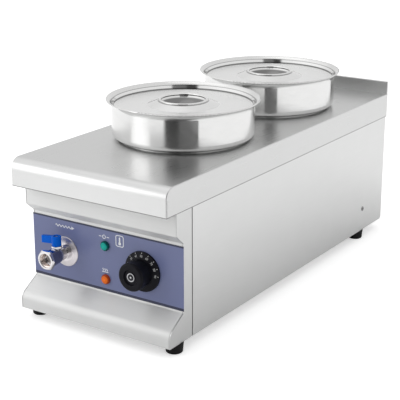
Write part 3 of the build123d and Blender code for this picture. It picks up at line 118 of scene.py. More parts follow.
class Bench:
    """Lays out the nodes of one tree and joins them."""

    def __init__(self, tree: bpy.types.NodeTree) -> None:
        """Clears the tree for a fresh layout."""
        self.tree = tree
        tree.nodes.clear()

    def feed(self, socket: Socket, value: Feed) -> None:
        """Joins an output to an input, or sets the input where the value is plain.

        Args:
            socket: the input.
            value: an output's socket, or a plain value.
        """
        if isinstance(value, Socket):
            self.tree.links.new(value, socket)
        else:
            socket.default_value = value

    def add(self, kind: str, *values: Feed, **settings: object) -> Node:
        """Adds one node.

        Args:
            kind: Blender's name for the node's type.
            *values: what its first inputs get, in their order.
            **settings: properties that are set on the node.

        Returns:
            The new node.
        """
        node = self.tree.nodes.new(kind)
        for key, value in settings.items():
            setattr(node, key, value)
        for socket, value in zip(node.inputs, values):
            self.feed(socket, value)
        return node

    def fill(self, node: Node, **values: Feed) -> Node:
        """Feeds several inputs of a node.

        Args:
            node: the node.
            **values: what each input gets, with an underscore for each space in its name.

        Returns:
            The same node.
        """
        for key, value in values.items():
            self.feed(node.inputs[key.replace("_", " ")], value)
        return node

    def made(self, kind: str, **values: Feed) -> Socket:
        """Adds a node of one kind, feeds its named inputs and gives its first output."""
        return self.fill(self.add(kind), **values).outputs[0]

    def sum(self, operation: str, a: Feed, b: Feed = 0.0) -> Socket:
        """Works out one number from two, by Blender's name for the operation."""
        return self.add("ShaderNodeMath", a, b, operation=operation).outputs[0]

    def parts(self, vector: Feed) -> Sequence[Socket]:
        """Splits a vector into its x, y and z."""
        return self.add("ShaderNodeSeparateXYZ", vector).outputs

    def choose(self, share: Feed, first: Socket, second: Socket) -> Socket:
        """Mixes two shaders: a share of 0 gives the first, 1 the second."""
        return self.add("ShaderNodeMixShader", share, first, second).outputs[0]

    def spread(self, value: Feed, low: float, high: float, start: float = 0.25, end: float = 0.75) -> Socket:
        """Maps a pattern's value to a range.

        Args:
            value: the pattern.
            low: the result at the start.
            high: the result at the end.
            start: the pattern's value at the start.
            end: the pattern's value at the end.

        Returns:
            The mapped value.
        """
        return self.made("ShaderNodeMapRange", Value=value, From_Min=start, From_Max=end, To_Min=low,
                         To_Max=high)

    def bands(self, value: Feed, stops: Sequence[tuple[float, Colour]], ramp: Ramp = Ramp.EASED) -> Socket:
        """Turns a value into colours through a ramp.

        Args:
            value: 0 to 1.
            stops: places along the ramp and their colours.
            ramp: the way the colours change.

        Returns:
            The ramp's colour.
        """
        node = self.add("ShaderNodeValToRGB", value)
        node.color_ramp.interpolation = ramp.value
        elements = node.color_ramp.elements
        while len(elements) < len(stops):
            elements.new(0.5)
        for element, (position, colour) in zip(elements, stops):
            element.position = position
            element.color = (*colour, 1.0)
        return node.outputs[0]


class ShaderBench(Bench):
    """Lays out one material round a Principled shader."""

    def __init__(self, name: str) -> None:
        """Starts a material with its shader, output and Object coordinates.

        Args:
            name: the material's name.
        """
        self.material = bpy.data.materials.new(name)
        self.material.use_nodes = True
        super().__init__(self.material.node_tree)
        self.shader = self.add("ShaderNodeBsdfPrincipled")
        self.output = self.add("ShaderNodeOutputMaterial", self.shader.outputs["BSDF"])
        self.object_place = self.add("ShaderNodeTexCoord").outputs["Object"]

    def cells(self, size: Triple, centre: Triple = ORIGIN) -> Socket:
        """Scales Object coordinates so that one pattern cell has a given size.

        Args:
            size: a cell's size along each axis, in metres.
            centre: the place that becomes the pattern's origin.

        Returns:
            The mapped coordinates.
        """
        node = self.add("ShaderNodeMapping", vector_type="TEXTURE")
        self.fill(node, Vector=self.object_place, Location=centre, Scale=size)
        return node.outputs[0]

    def reach(self, size: Triple, centre: Triple) -> Socket:
        """Gives how many cells of a given size lie between a centre and each point."""
        return self.add("ShaderNodeVectorMath", self.cells(size, centre), operation="LENGTH").outputs["Value"]

    def noise(self, size: Union[float, Triple], detail: float = 2.0, centre: Triple = ORIGIN) -> Socket:
        """Makes a noise whose blotches have a given size.

        Args:
            size: a blotch's size in metres, the same all ways or along each axis.
            detail: how many finer layers it has.
            centre: a place that shifts the pattern.

        Returns:
            The noise's value, about 0 to 1.
        """
        vector = self.cells((size,) * 3 if isinstance(size, float) else size, centre)
        return self.made("ShaderNodeTexNoise", Vector=vector, Scale=1.0, Detail=detail, Roughness=0.55)

    def turning(self, axis: Triple) -> Socket:
        """Makes turning lines round an upright axis.

        Args:
            axis: a point on the axis.

        Returns:
            The lines' value, 0 to 1.
        """
        node = self.add("ShaderNodeTexWave", wave_type="RINGS", rings_direction="Z", wave_profile="SIN")
        self.fill(node, Vector=self.cells((TURNING_PITCH,) * 3, axis), Scale=ONE_RING_SCALE)
        self.fill(node, Distortion=1.2, Detail=2.0, Detail_Scale=0.8)
        return node.outputs[1]

    def blend(self, value: Feed, first: Feed, second: Feed) -> Socket:
        """Mixes two colours.

        Args:
            value: 0 for the first colour, 1 for the second.
            first: a colour or a colour's socket.
            second: a colour or a colour's socket.

        Returns:
            The mixed colour.
        """
        node = self.add("ShaderNodeMix", value, data_type="RGBA")
        for socket, colour in ((node.inputs[6], first), (node.inputs[7], second)):
            self.feed(socket, (*colour, 1.0) if isinstance(colour, tuple) else colour)
        return node.outputs[2]

    def ringed(self, axis: Triple, tint: Colour, rings: Sequence[Point]) -> Socket:
        """Tints a turned piece in rings round an upright axis.

        Args:
            axis: a point on the axis.
            tint: the main colour.
            rings: rising radii in metres, and what the colour is multiplied by at each.

        Returns:
            The colour.
        """
        first, last = rings[0][0], rings[-1][0]
        place = self.spread(self.reach((1.0, 1.0, ENDLESS), axis), 0.0, 1.0, first, last)
        stops = [((radius - first) / (last - first), shade(tint, by)) for radius, by in rings]
        return self.bands(place, stops)

    def round_axis(self, axis: Triple) -> Socket:
        """Gives the direction that runs round an upright axis, level and square to the radius."""
        outward = self.cells((1.0, 1.0, 1.0), axis)
        return self.add("ShaderNodeVectorMath", UPWARD, outward, operation="CROSS_PRODUCT").outputs[0]

    def relief(self, height: Feed, depth: float, strength: float = 1.0,
               over: Optional[Feed] = None) -> Socket:
        """Turns a pattern into a bump.

        Args:
            height: the pattern.
            depth: its height in metres.
            strength: how much of it shows.
            over: the normal of a coarser bump under it.

        Returns:
            The bumped normal.
        """
        node = self.fill(self.add("ShaderNodeBump"), Height=height, Distance=depth, Strength=strength)
        if over is not None:
            self.fill(node, Normal=over)
        return node.outputs[0]

    def worn(self, broad: Feed, low: float, high: float, fine: Feed, play: float) -> Socket:
        """Makes a roughness from two patterns.

        Args:
            broad: the broad pattern.
            low: the roughness at its start.
            high: the roughness at its end.
            fine: the fine pattern.
            play: what the fine pattern adds or takes off at most.

        Returns:
            The roughness.
        """
        return self.sum("ADD", self.spread(broad, low, high), self.spread(fine, -play, play))

    def coat(self, colour: Feed, rough: Feed, normal: Feed, **others: Feed) -> None:
        """Feeds the shader's colour, roughness and normal, and others of its inputs by name."""
        self.fill(self.shader, Base_Color=colour, Roughness=rough, Normal=normal, **others)


@dataclass(frozen=True)
class Finish(ABC):
    """A surface finish that lays out its own material."""

    name: str

    def material(self) -> bpy.types.Material:
        """Gives the finish's material, made the first time.

        Returns:
            The material.
        """
        known = bpy.data.materials.get(self.name)
        if known is not None:
            return known
        bench = ShaderBench(self.name)
        self.lay_out(bench)
        return bench.material

    @abstractmethod
    def lay_out(self, bench: ShaderBench) -> None:
        """Lays out the shader's nodes on the material's bench."""


def shade(colour: Colour, factor: float) -> Colour:
    """Makes a colour lighter or darker by a factor, held to 1."""
    return tuple(min(1.0, channel * factor) for channel in colour)


@dataclass(frozen=True)
class BrushedSteel(Finish):
    """Brushed stainless sheet: fine strokes, faint marks, a slight wave and a painted shadow line at its
    foot.
    """

    tint: Colour
    gloss: float
    grain: Grain
    hem: float = 0.0
    draw: float = 0.0
    metal: float = 1.0
    mark_size: float = 45.0 * MM
    mark_shades: Point = (0.975, 1.015)
    mark_play: float = 0.02
    stroke_share: float = 0.5
    stroke_shade: float = 0.97
    stroke_play: float = 0.03
    stroke_depth: float = 6.0 * MICRON
    stroke_show: float = 0.18
    wave_size: float = 40.0 * MM
    wave_depth: float = 100.0 * MICRON
    # The sheet is darkened from its foot up to the hem height by these two: a painted shadow line along the
    # skirts' lower edge.
    shadow_line_wide: float = 0.2 * MM
    shadow_line_shade: float = 0.3

    def lay_out(self, bench: ShaderBench) -> None:
        """Lays out strokes, handling marks and the sheet's unevenness.

        Args:
            bench: the material's bench.
        """
        strokes = bench.noise(self.grain.value)
        marks = bench.noise(self.mark_size, detail=3.0, centre=(0.3, 0.1, 0.2))
        waves = bench.noise(self.wave_size, detail=1.0, centre=(0.02, 0.05, 0.01))
        dull, clean = (shade(self.tint, factor) for factor in self.mark_shades)
        marked = bench.blend(bench.spread(marks, 0.0, 1.0), dull, clean)
        stroke_share = bench.spread(strokes, 0.0, self.stroke_share)
        stroked = bench.blend(stroke_share, marked, shade(self.tint, self.stroke_shade))
        low, high = self.gloss - self.mark_play, self.gloss + self.mark_play
        rough = bench.worn(marks, low, high, strokes, self.stroke_play)
        uneven = bench.relief(waves, self.wave_depth)
        normal = bench.relief(strokes, self.stroke_depth, self.stroke_show, uneven)
        # Painted shadow line: darker from the sheet's foot up to the hem height.
        height = bench.parts(bench.object_place)[2]
        edge = bench.spread(height, 1.0, 0.0, self.hem, self.hem + self.shadow_line_wide)
        colour = bench.blend(edge, stroked, shade(self.tint, self.shadow_line_shade))
        bench.coat(colour, rough, normal, Metallic=self.metal)
        if self.draw:
            across = bench.made("ShaderNodeCombineXYZ", X=1.0)
            bench.fill(bench.shader, Tangent=across, Anisotropic=self.draw, Anisotropic_Rotation=QUARTER_TURN)


@dataclass(frozen=True)
class PolishedSteel(Finish):
    """Polished stainless ware, whose turning lines draw its reflections out along its height."""

    axis: Triple
    tint: Colour
    gloss: float = 0.16
    draw: float = 0.95
    rings: tuple[Point, ...] = ((0.0, 1.0), (1.0, 1.0))
    wipe_size: Triple = (20.0 * MM, 20.0 * MM, 6.0 * MM)
    wipe_share: float = 0.04
    wipe_play: float = 0.02
    line_depth: float = 4.0 * MICRON
    line_show: float = 0.2

    def lay_out(self, bench: ShaderBench) -> None:
        """Lays out turning lines and wiping marks.

        Args:
            bench: the material's bench.
        """
        turned = bench.turning(self.axis)
        wiped = bench.noise(self.wipe_size, detail=4.0, centre=self.axis)
        clean = bench.ringed(self.axis, self.tint, self.rings)
        colour = bench.blend(bench.spread(wiped, 0.0, self.wipe_share), clean, WIPED_GREY)
        base = bench.spread(wiped, self.gloss - self.wipe_play, self.gloss + self.wipe_play)
        rough = bench.sum("ADD", bench.spread(turned, 0.0, TURNING_PLAY, 0.0, 1.0), base)
        normal = bench.relief(turned, self.line_depth, self.line_show)
        bench.coat(colour, rough, normal, Metallic=1.0, Tangent=bench.round_axis(self.axis),
                   Anisotropic=self.draw, Anisotropic_Rotation=QUARTER_TURN)


@dataclass(frozen=True)
class LidSteel(Finish):
    """Lid sheet: satin on its flat, polished on its upturned lip, with painted shade in the crease and on the
    lip's top.
    """

    axis: Triple
    tint: Colour = (0.87, 0.87, 0.866)
    satin: float = 0.28
    polish: float = 0.10
    flat_radius: float = 92.6 * MM
    lip_change: Point = (0.995, 1.01)
    # Painted shade: a dark ring in the crease at the foot of the lip, and a grey ring on the lip's top where
    # it meets the pot's rim.
    rings: tuple[Point, ...] = (
        (90.0 * MM, 1.0), (93.1 * MM, 1.0), (93.3 * MM, 0.22), (93.8 * MM, 0.22), (94.2 * MM, 1.0),
        (95.4 * MM, 1.0), (95.7 * MM, 0.5), (98.0 * MM, 0.5))
    wipe_size: float = 20.0 * MM
    wipe_share: float = 0.03
    wipe_play: float = 0.02
    line_depth: float = 2.0 * MICRON
    line_show: float = 0.1

    def lay_out(self, bench: ShaderBench) -> None:
        """Lays out turning lines, wiping marks, the change of polish at the lip and the painted shade in
        rings.

        Args:
            bench: the material's bench.
        """
        turned = bench.turning(self.axis)
        wiped = bench.noise(self.wipe_size, detail=4.0, centre=self.axis)
        flat = bench.reach((self.flat_radius, self.flat_radius, ENDLESS), self.axis)
        base = bench.spread(flat, self.satin, self.polish, *self.lip_change)
        lines = bench.spread(turned, 0.0, TURNING_PLAY, 0.0, 1.0)
        wipes = bench.spread(wiped, -self.wipe_play, self.wipe_play)
        rough = bench.sum("ADD", base, bench.sum("ADD", lines, wipes))
        clean = bench.ringed(self.axis, self.tint, self.rings)
        colour = bench.blend(bench.spread(wiped, 0.0, self.wipe_share), clean, WIPED_GREY)
        bench.coat(colour, rough, bench.relief(turned, self.line_depth, self.line_show), Metallic=1.0)


@dataclass(frozen=True)
class BareMetal(Finish):
    """Bare, plated or cast metal with blotches, drawing marks and a fine grain."""

    tint: Colour
    gloss: float
    blotch: float = 6.0 * MM
    contrast: float = 0.82
    pits: float = 30.0 * MICRON
    grain_size: float = 0.7 * MM
    grain_play: float = 0.03
    grain_show: float = 0.6
    dull: float = 0.06
    bright: float = 0.03

    def lay_out(self, bench: ShaderBench) -> None:
        """Lays out blotches and grain.

        Args:
            bench: the material's bench.
        """
        blotches = bench.noise(self.blotch, detail=4.0)
        grain = bench.noise(self.grain_size)
        colour = bench.blend(bench.spread(blotches, 0.0, 1.0), shade(self.tint, self.contrast), self.tint)
        rough = bench.worn(blotches, self.gloss + self.dull, self.gloss - self.bright, grain, self.grain_play)
        bench.coat(colour, rough, bench.relief(grain, self.pits, self.grain_show), Metallic=1.0)


@dataclass(frozen=True)
class Moulded(Finish):
    """Moulded plastic, rubber or sleeving with a fine moulded grain and faint colour drift."""

    tint: Colour
    gloss: float
    grain: float = 0.6 * MM
    depth: float = 30.0 * MICRON
    drift: float = 1.25
    shine: float = 0.5
    drift_size: float = 12.0 * MM
    play: float = 0.04
    grain_show: float = 0.5

    def lay_out(self, bench: ShaderBench) -> None:
        """Lays out grain and drift.

        Args:
            bench: the material's bench.
        """
        drift = bench.noise(self.drift_size, detail=3.0)
        grain = bench.noise(self.grain)
        colour = bench.blend(bench.spread(drift, 0.0, 1.0), self.tint, shade(self.tint, self.drift))
        rough = bench.worn(drift, self.gloss - self.play, self.gloss + self.play, grain, self.play)
        normal = bench.relief(grain, self.depth, self.grain_show)
        bench.coat(colour, rough, normal, Specular_IOR_Level=self.shine)


@dataclass(frozen=True)
class PrintedPanel(Finish):
    """Panel film: a printed slate field, darker in a line along its top and its bottom."""

    low: float
    high: float
    top_line: float = 2.2 * MM
    bottom_line: float = 3.6 * MM
    field_tint: Colour = (0.156, 0.180, 0.335)
    line_tint: Colour = (0.022, 0.026, 0.062)
    drift_size: float = 50.0 * MM
    drift_share: float = 0.12
    drift_shade: float = 0.6
    gloss: Point = (0.30, 0.36)
    grain_size: float = 0.5 * MM
    grain_play: float = 0.03
    grain_depth: float = 10.0 * MICRON
    grain_show: float = 0.5

    def lay_out(self, bench: ShaderBench) -> None:
        """Lays out the lines, the film's drift and its matt grain.

        Args:
            bench: the material's bench.
        """
        height = bench.spread(bench.parts(bench.object_place)[2], 0.0, 1.0, self.low, self.high)
        tall = self.high - self.low
        stops = ((0.0, self.line_tint), (self.bottom_line / tall, self.field_tint),
                 (1.0 - self.top_line / tall, self.line_tint))
        printed = bench.bands(height, stops, Ramp.STEPPED)
        drift = bench.noise(self.drift_size, detail=3.0)
        grain = bench.noise(self.grain_size)
        drifted = bench.spread(drift, 0.0, self.drift_share)
        colour = bench.blend(drifted, printed, shade(self.field_tint, self.drift_shade))
        rough = bench.worn(drift, *self.gloss, grain, self.grain_play)
        bench.coat(colour, rough, bench.relief(grain, self.grain_depth, self.grain_show))


@dataclass(frozen=True)
class TapPlate(Finish):
    """Plated tap body, bright on its outlet; painted shade and blue reflection darken the barrel behind, the
    hexagon's top kept bright as a painted highlight.
    """

    front: float
    axis: Triple
    bore: float = 10.0 * MM
    change: float = 3.4 * MM
    change_start: float = 0.90
    # Painted highlight: the change from bright to dark leans back with height, so the top of the hexagon
    # stays bright.
    lean: float = 0.12
    bright: Colour = (0.82, 0.80, 0.81)
    # Painted shade and a painted reflection of the blue panel on the barrel.
    dark: Colour = (0.30, 0.30, 0.36)
    stain_size: float = 8.0 * MM
    stain_share: float = 0.12
    stain_shade: float = 0.7
    gloss: Point = (0.20, 0.14)
    grain_size: float = 0.8 * MM
    grain_play: float = 0.02
    grain_depth: float = 10.0 * MICRON
    grain_show: float = 0.5

    def lay_out(self, bench: ShaderBench) -> None:
        """Lays out the change from the bright plate to the painted shade on the barrel, and its casting
        marks.

        Args:
            bench: the material's bench.
        """
        _, along, up = bench.parts(bench.object_place)
        grain = bench.noise(self.grain_size)
        stains = bench.noise(self.stain_size, detail=3.0)
        # Painted highlight: the change leans back with height.
        leaning = bench.sum("MULTIPLY", bench.sum("SUBTRACT", up, self.axis[2]), self.lean)
        behind = bench.sum("SUBTRACT", along, leaning)
        depth = bench.spread(behind, 0.0, 1.0, self.front, self.front + self.change)
        outside = bench.sum("GREATER_THAN", bench.reach((self.bore, ENDLESS, self.bore), self.axis), 1.0)
        stops = ((self.change_start, self.bright), (1.0, self.dark))
        # Bright plate in front and in the bore, painted shade and reflection behind.
        plate = bench.bands(bench.sum("MULTIPLY", depth, outside), stops)
        stained = bench.spread(stains, 0.0, self.stain_share)
        colour = bench.blend(stained, plate, shade(self.dark, self.stain_shade))
        rough = bench.worn(stains, *self.gloss, grain, self.grain_play)
        bench.coat(colour, rough, bench.relief(grain, self.grain_depth, self.grain_show), Metallic=1.0)


@dataclass(frozen=True)
class RingedDisc(Finish):
    """Silver disc with turned rings, dark between them."""

    centre: Triple
    radius: float
    silver: Colour = (0.62, 0.62, 0.64)
    dark: Colour = (0.03, 0.03, 0.035)
    metal: float = 0.8
    gloss: Point = (0.25, 0.36)
    grain_size: float = 0.5 * MM
    grain_share: float = 0.15
    grain_depth: float = 10.0 * MICRON
    grain_show: float = 0.5

    def lay_out(self, bench: ShaderBench) -> None:
        """Lays out rings about the disc's axis, which runs along y.

        Args:
            bench: the material's bench.
        """
        grain = bench.noise(self.grain_size)
        stops = ((0.0, self.silver), (0.16, self.silver), (0.24, self.dark), (0.66, self.dark),
                 (0.74, self.silver), (0.84, self.silver), (0.92, self.dark))
        rings = bench.bands(bench.reach((self.radius, ENDLESS, self.radius), self.centre), stops)
        colour = bench.blend(bench.spread(grain, 0.0, self.grain_share), rings, self.dark)
        rough = bench.spread(grain, *self.gloss)
        bench.coat(colour, rough, bench.relief(grain, self.grain_depth, self.grain_show), Metallic=self.metal)


@dataclass(frozen=True)
class LensPlastic(Finish):
    """Tinted lamp lens with a clear gloss, lighter over its lamp as painted light through it, and deeper at
    its rim as painted shade.
    """

    centre: Triple
    radius: float
    tint: LampTint
    # The middle is made lighter by this factor, as painted light through the lens.
    lift: float = 1.25
    gloss: Point = (0.10, 0.22)
    ripple_size: float = 2.0 * MM
    ripple_play: float = 0.06
    ripple_depth: float = 60.0 * MICRON
    ripple_show: float = 0.4
    shine: float = 0.15
    coat: float = 0.12
    coat_rough: float = 0.04

    def lay_out(self, bench: ShaderBench) -> None:
        """Lays out the painted glow in the middle, the painted shade at the rim and the moulded ripple.

        Args:
            bench: the material's bench.
        """
        core, rim = self.tint.value
        ripple = bench.noise(self.ripple_size)
        play = bench.spread(ripple, -self.ripple_play, self.ripple_play)
        reach = bench.sum("ADD", bench.reach((self.radius,) * 3, self.centre), play)
        # Painted light in the lens's middle, painted shade at its rim.
        colour = bench.bands(reach, ((0.10, shade(core, self.lift)), (0.45, core), (0.70, core), (0.86, rim)))
        normal = bench.relief(ripple, self.ripple_depth, self.ripple_show)
        bench.coat(colour, bench.spread(ripple, *self.gloss), normal, Specular_IOR_Level=self.shine,
                   Coat_Weight=self.coat, Coat_Roughness=self.coat_rough)


@dataclass(frozen=True)
class Ink(Finish):
    """Printed ink with a faint unevenness of the print."""

    tint: Colour = (0.82, 0.83, 0.86)
    gloss: Point = (0.35, 0.5)
    thin_shade: float = 0.9
    grain_size: float = 0.4 * MM
    grain_depth: float = 10.0 * MICRON
    grain_show: float = 0.4

    def lay_out(self, bench: ShaderBench) -> None:
        """Lays out the print's unevenness.

        Args:
            bench: the material's bench.
        """
        grain = bench.noise(self.grain_size)
        colour = bench.blend(bench.spread(grain, 0.0, 1.0), shade(self.tint, self.thin_shade), self.tint)
        normal = bench.relief(grain, self.grain_depth, self.grain_show)
        bench.coat(colour, bench.spread(grain, *self.gloss), normal)


def link(name: str, data: bpy.types.ID) -> Piece:
    """Puts a mesh, curve, lamp or camera into the scene.

    Args:
        name: the object's name.
        data: what it holds.

    Returns:
        The object, at the origin.
    """
    holder = bpy.data.objects.new(name, data)
    bpy.context.scene.collection.objects.link(holder)
    return holder


def evaluated(holder: Piece) -> Mesh:
    """Gives what an object evaluates to, as a plain mesh."""
    depsgraph = bpy.context.evaluated_depsgraph_get()
    return bpy.data.meshes.new_from_object(holder.evaluated_get(depsgraph), depsgraph=depsgraph)


class Recipe(Bench):
    """A Geometry Nodes tree with named inputs, run once and turned into a plain mesh."""

    def __init__(self, name: str) -> None:
        """Starts a tree that takes and gives geometry.

        Args:
            name: the tree's name.
        """
        tree = bpy.data.node_groups.new(name, "GeometryNodeTree")
        super().__init__(tree)
        for side in ("INPUT", "OUTPUT"):
            tree.interface.new_socket("Geometry", in_out=side, socket_type="NodeSocketGeometry")
        self.inlet = self.add("NodeGroupInput")
        self.outlet = self.add("NodeGroupOutput")
        self.values: dict[str, object] = {}

    def size(self, name: str, value: object, kind: str = "Float") -> Socket:
        """Adds a named input.

        Args:
            name: the input's name.
            value: what the modifier sets it to.
            kind: the socket's kind, such as Float, Int, Vector or Material.

        Returns:
            The socket that gives the value inside the tree.
        """
        made = self.tree.interface.new_socket(name, in_out="INPUT", socket_type="NodeSocket" + kind)
        self.values[made.identifier] = value
        return self.inlet.outputs[name]

    def sizes(self, owner: object, *names: str) -> list[Socket]:
        """Adds a named input for each of several sizes of a sub-assembly.

        Args:
            owner: the sub-assembly.
            *names: the names of its fields.

        Returns:
            The sockets, in the same order.
        """
        return [self.size(name.replace("_", " ").title(), getattr(owner, name)) for name in names]

    def shift(self, mesh: Socket, offset: Feed) -> Socket:
        """Moves a geometry along by a vector."""
        return self.made("GeometryNodeTransform", Geometry=mesh, Translation=offset)

    def upright(self, height: Feed) -> Socket:
        """Makes a vector that points up by a height."""
        return self.made("ShaderNodeCombineXYZ", Z=height)

    def close(self, mesh: Socket, finish: Finish) -> None:
        """Ends the tree in real geometry with its finish.

        Args:
            mesh: the geometry, instances among it.
            finish: the finish it gets.
        """
        realised = self.made("GeometryNodeRealizeInstances", Geometry=mesh)
        material = self.size("Finish", finish.material(), "Material")
        dressed = self.made("GeometryNodeSetMaterial", Geometry=realised, Material=material)
        self.feed(self.outlet.inputs[0], dressed)

    def run(self, name: str, seats: Sequence[Vector] = ()) -> Piece:
        """Runs the tree on a set of points.

        Args:
            name: the piece's name.
            seats: the points it starts from.

        Returns:
            An object that holds the result as a plain mesh.
        """
        start = bpy.data.meshes.new(name + "_seats")
        start.from_pydata([tuple(seat) for seat in seats], [], [])
        piece = link(name, start)
        modifier = piece.modifiers.new("recipe", "NODES")
        modifier.node_group = self.tree
        for identifier, value in self.values.items():
            modifier[identifier] = value
        result = evaluated(piece)
        piece.modifiers.clear()
        piece.data = result
        bpy.data.meshes.remove(start)
        result.name = name
        return piece


def piece_from(name: str, mesh: Mesh, finish: Finish) -> Piece:
    """Links a mesh to the scene as a piece.

    Args:
        name: the piece's name.
        mesh: its mesh, in the frame.
        finish: its finish.

    Returns:
        The piece's object, at the origin.
    """
    mesh.materials.clear()
    mesh.materials.append(finish.material())
    return link(name, mesh)


def bend_mesh(mesh: Mesh, rule: Callable[[Vector], Vector]) -> None:
    """Moves each vertex of a mesh by a rule.

    Args:
        mesh: the mesh.
        rule: gives a vertex's new place from its old one.
    """
    for vertex in mesh.vertices:
        vertex.co = rule(vertex.co.copy())
    mesh.update()


def soften(mesh: Mesh, crisp: float) -> None:
    """Shades a mesh smooth, but for edges sharper than an angle in radians."""
    mesh.shade_smooth()
    mesh.set_sharp_from_angle(angle=crisp)


def middle(node: str) -> Vector:
    """Gives the middle of a node's box."""
    low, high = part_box(node)
    return (low + high) / 2


def dress(finish: Finish, *nodes: str) -> None:
    """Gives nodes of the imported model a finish.

    Args:
        finish: the finish.
        *nodes: the nodes' names.
    """
    for name in nodes:
        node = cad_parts[name]
        if not node.material_slots:
            node.data.materials.append(finish.material())
        for place in node.material_slots:
            place.material = finish.material()
        LOG.info("%s dressed in %s", name, finish.name)


def carry(piece: Piece, body: Body, slot: str, *nodes: str) -> Piece:
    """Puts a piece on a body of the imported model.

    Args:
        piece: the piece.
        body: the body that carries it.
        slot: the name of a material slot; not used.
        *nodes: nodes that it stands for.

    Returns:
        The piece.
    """
    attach(piece, body.value)
    if nodes:
        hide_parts(*nodes)
    LOG.info("%s rides %s", piece.name, body.value)
    return piece


def arc(centre: Point, radius: float, start: float, end: float, steps: int) -> Loop:
    """Lists points along an arc.

    Args:
        centre: the arc's centre.
        radius: its radius.
        start: its first angle in degrees, from +x towards +y.
        end: its last angle in degrees.
        steps: how many parts it has.

    Returns:
        The points.
    """
    turns = (math.radians(start + (end - start) * step / steps) for step in range(steps + 1))
    return [(centre[0] + radius * math.cos(turn), centre[1] + radius * math.sin(turn)) for turn in turns]


def rounded_box(wide: float, tall: float, radius: float) -> Loop:
    """Lists the outline of a box with round corners about the origin.

    Args:
        wide: its width.
        tall: its height.
        radius: its corners' radius.

    Returns:
        The outline's points.
    """
    points: Loop = []
    for across, up, turn in ((1, 1, 0), (-1, 1, 90), (-1, -1, 180), (1, -1, 270)):
        centre = (across * (wide / 2 - radius), up * (tall / 2 - radius))
        points += arc(centre, radius, turn, turn + 90, CORNER_STEPS)
    return points


def stroke(points: Loop, wide: float) -> Loop:
    """Turns a line into the outline of a stroke of even width.

    Args:
        points: points along the line.
        wide: the stroke's width.

    Returns:
        The outline's points.
    """
    left: Loop = []
    right: Loop = []
    last = len(points) - 1
    for index, (x, y) in enumerate(points):
        ahead, behind = points[min(index + 1, last)], points[max(index - 1, 0)]
        along = Vector((ahead[0] - behind[0], ahead[1] - behind[1])).normalized()
        left.append((x - along.y * wide / 2, y + along.x * wide / 2))
        right.append((x + along.y * wide / 2, y - along.x * wide / 2))
    return left + right[::-1]


def flat_print(name: str, loops: Sequence[Loop], thick: float) -> Mesh:
    """Fills outlines and gives them a thickness.

    Args:
        name: the mesh's name.
        loops: outlines in metres, with holes as outlines inside others.
        thick: the print's thickness.

    Returns:
        A closed mesh in the xy plane that stands on z = 0.
    """
    curve = bpy.data.curves.new(name + "_outline", "CURVE")
    curve.dimensions = "2D"
    curve.fill_mode = "BOTH"
    for loop in loops:
        spline = curve.splines.new("POLY")
        spline.points.add(len(loop) - 1)
        for point, (x, y) in zip(spline.points, loop):
            point.co = (x, y, 0.0, 1.0)
        spline.use_cyclic_u = True
    return mesh_of_curve(name, curve, thick)


def figure(name: str, text: str, tall: float, thick: float) -> Mesh:
    """Makes a printed figure, such as a number.

    Args:
        name: the mesh's name.
        text: the figure.
        tall: its height setting.
        thick: the print's thickness.

    Returns:
        A closed mesh centred on the origin of the xy plane, on z = 0.
    """
    curve = bpy.data.curves.new(name + "_text", "FONT")
    curve.body = text
    curve.size = tall
    curve.align_x = "CENTER"
    curve.align_y = "CENTER"
    curve.resolution_u = 3
    return mesh_of_curve(name, curve, thick)


def mesh_of_curve(name: str, curve: bpy.types.Curve, thick: float) -> Mesh:
    """Turns a filled curve or text into a closed mesh that stands on z = 0.

    Args:
        name: the mesh's name.
        curve: the curve or text, which is then removed.
        thick: its thickness.

    Returns:
        The mesh, with its doubles merged.
    """
    curve.extrude = thick / 2
    holder = link(name + "_holder", curve)
    mesh = evaluated(holder)
    bpy.data.objects.remove(holder)
    bpy.data.curves.remove(curve)
    work = bmesh.new()
    work.from_mesh(mesh)
    bmesh.ops.remove_doubles(work, verts=work.verts, dist=0.1 * MICRON)
    bmesh.ops.triangulate(work, faces=work.faces)
    bmesh.ops.recalc_face_normals(work, faces=work.faces)
    bmesh.ops.translate(work, verts=work.verts, vec=(0.0, 0.0, thick / 2))
    work.to_mesh(mesh)
    work.free()
    mesh.name = name
    return mesh


def join_meshes(name: str, meshes: Sequence[Mesh]) -> Mesh:
    """Joins meshes into one.

    Args:
        name: the new mesh's name.
        meshes: the meshes, which are then removed.

    Returns:
        The joined mesh.
    """
    work = bmesh.new()
    for mesh in meshes:
        work.from_mesh(mesh)
        bpy.data.meshes.remove(mesh)
    whole = bpy.data.meshes.new(name)
    work.to_mesh(whole)
    work.free()
    return whole


class SubAssembly(ABC):
    """A group of pieces that is dressed, and that adds fine pieces of its own."""

    @abstractmethod
    def dress(self) -> None:
        """Gives the group's nodes their finishes."""

    def build(self) -> list[Piece]:
        """Makes the group's fine pieces, none by default."""
        return []

    def make(self) -> list[Piece]:
        """Dresses the group and makes its fine pieces."""
        self.dress()
        return self.build()


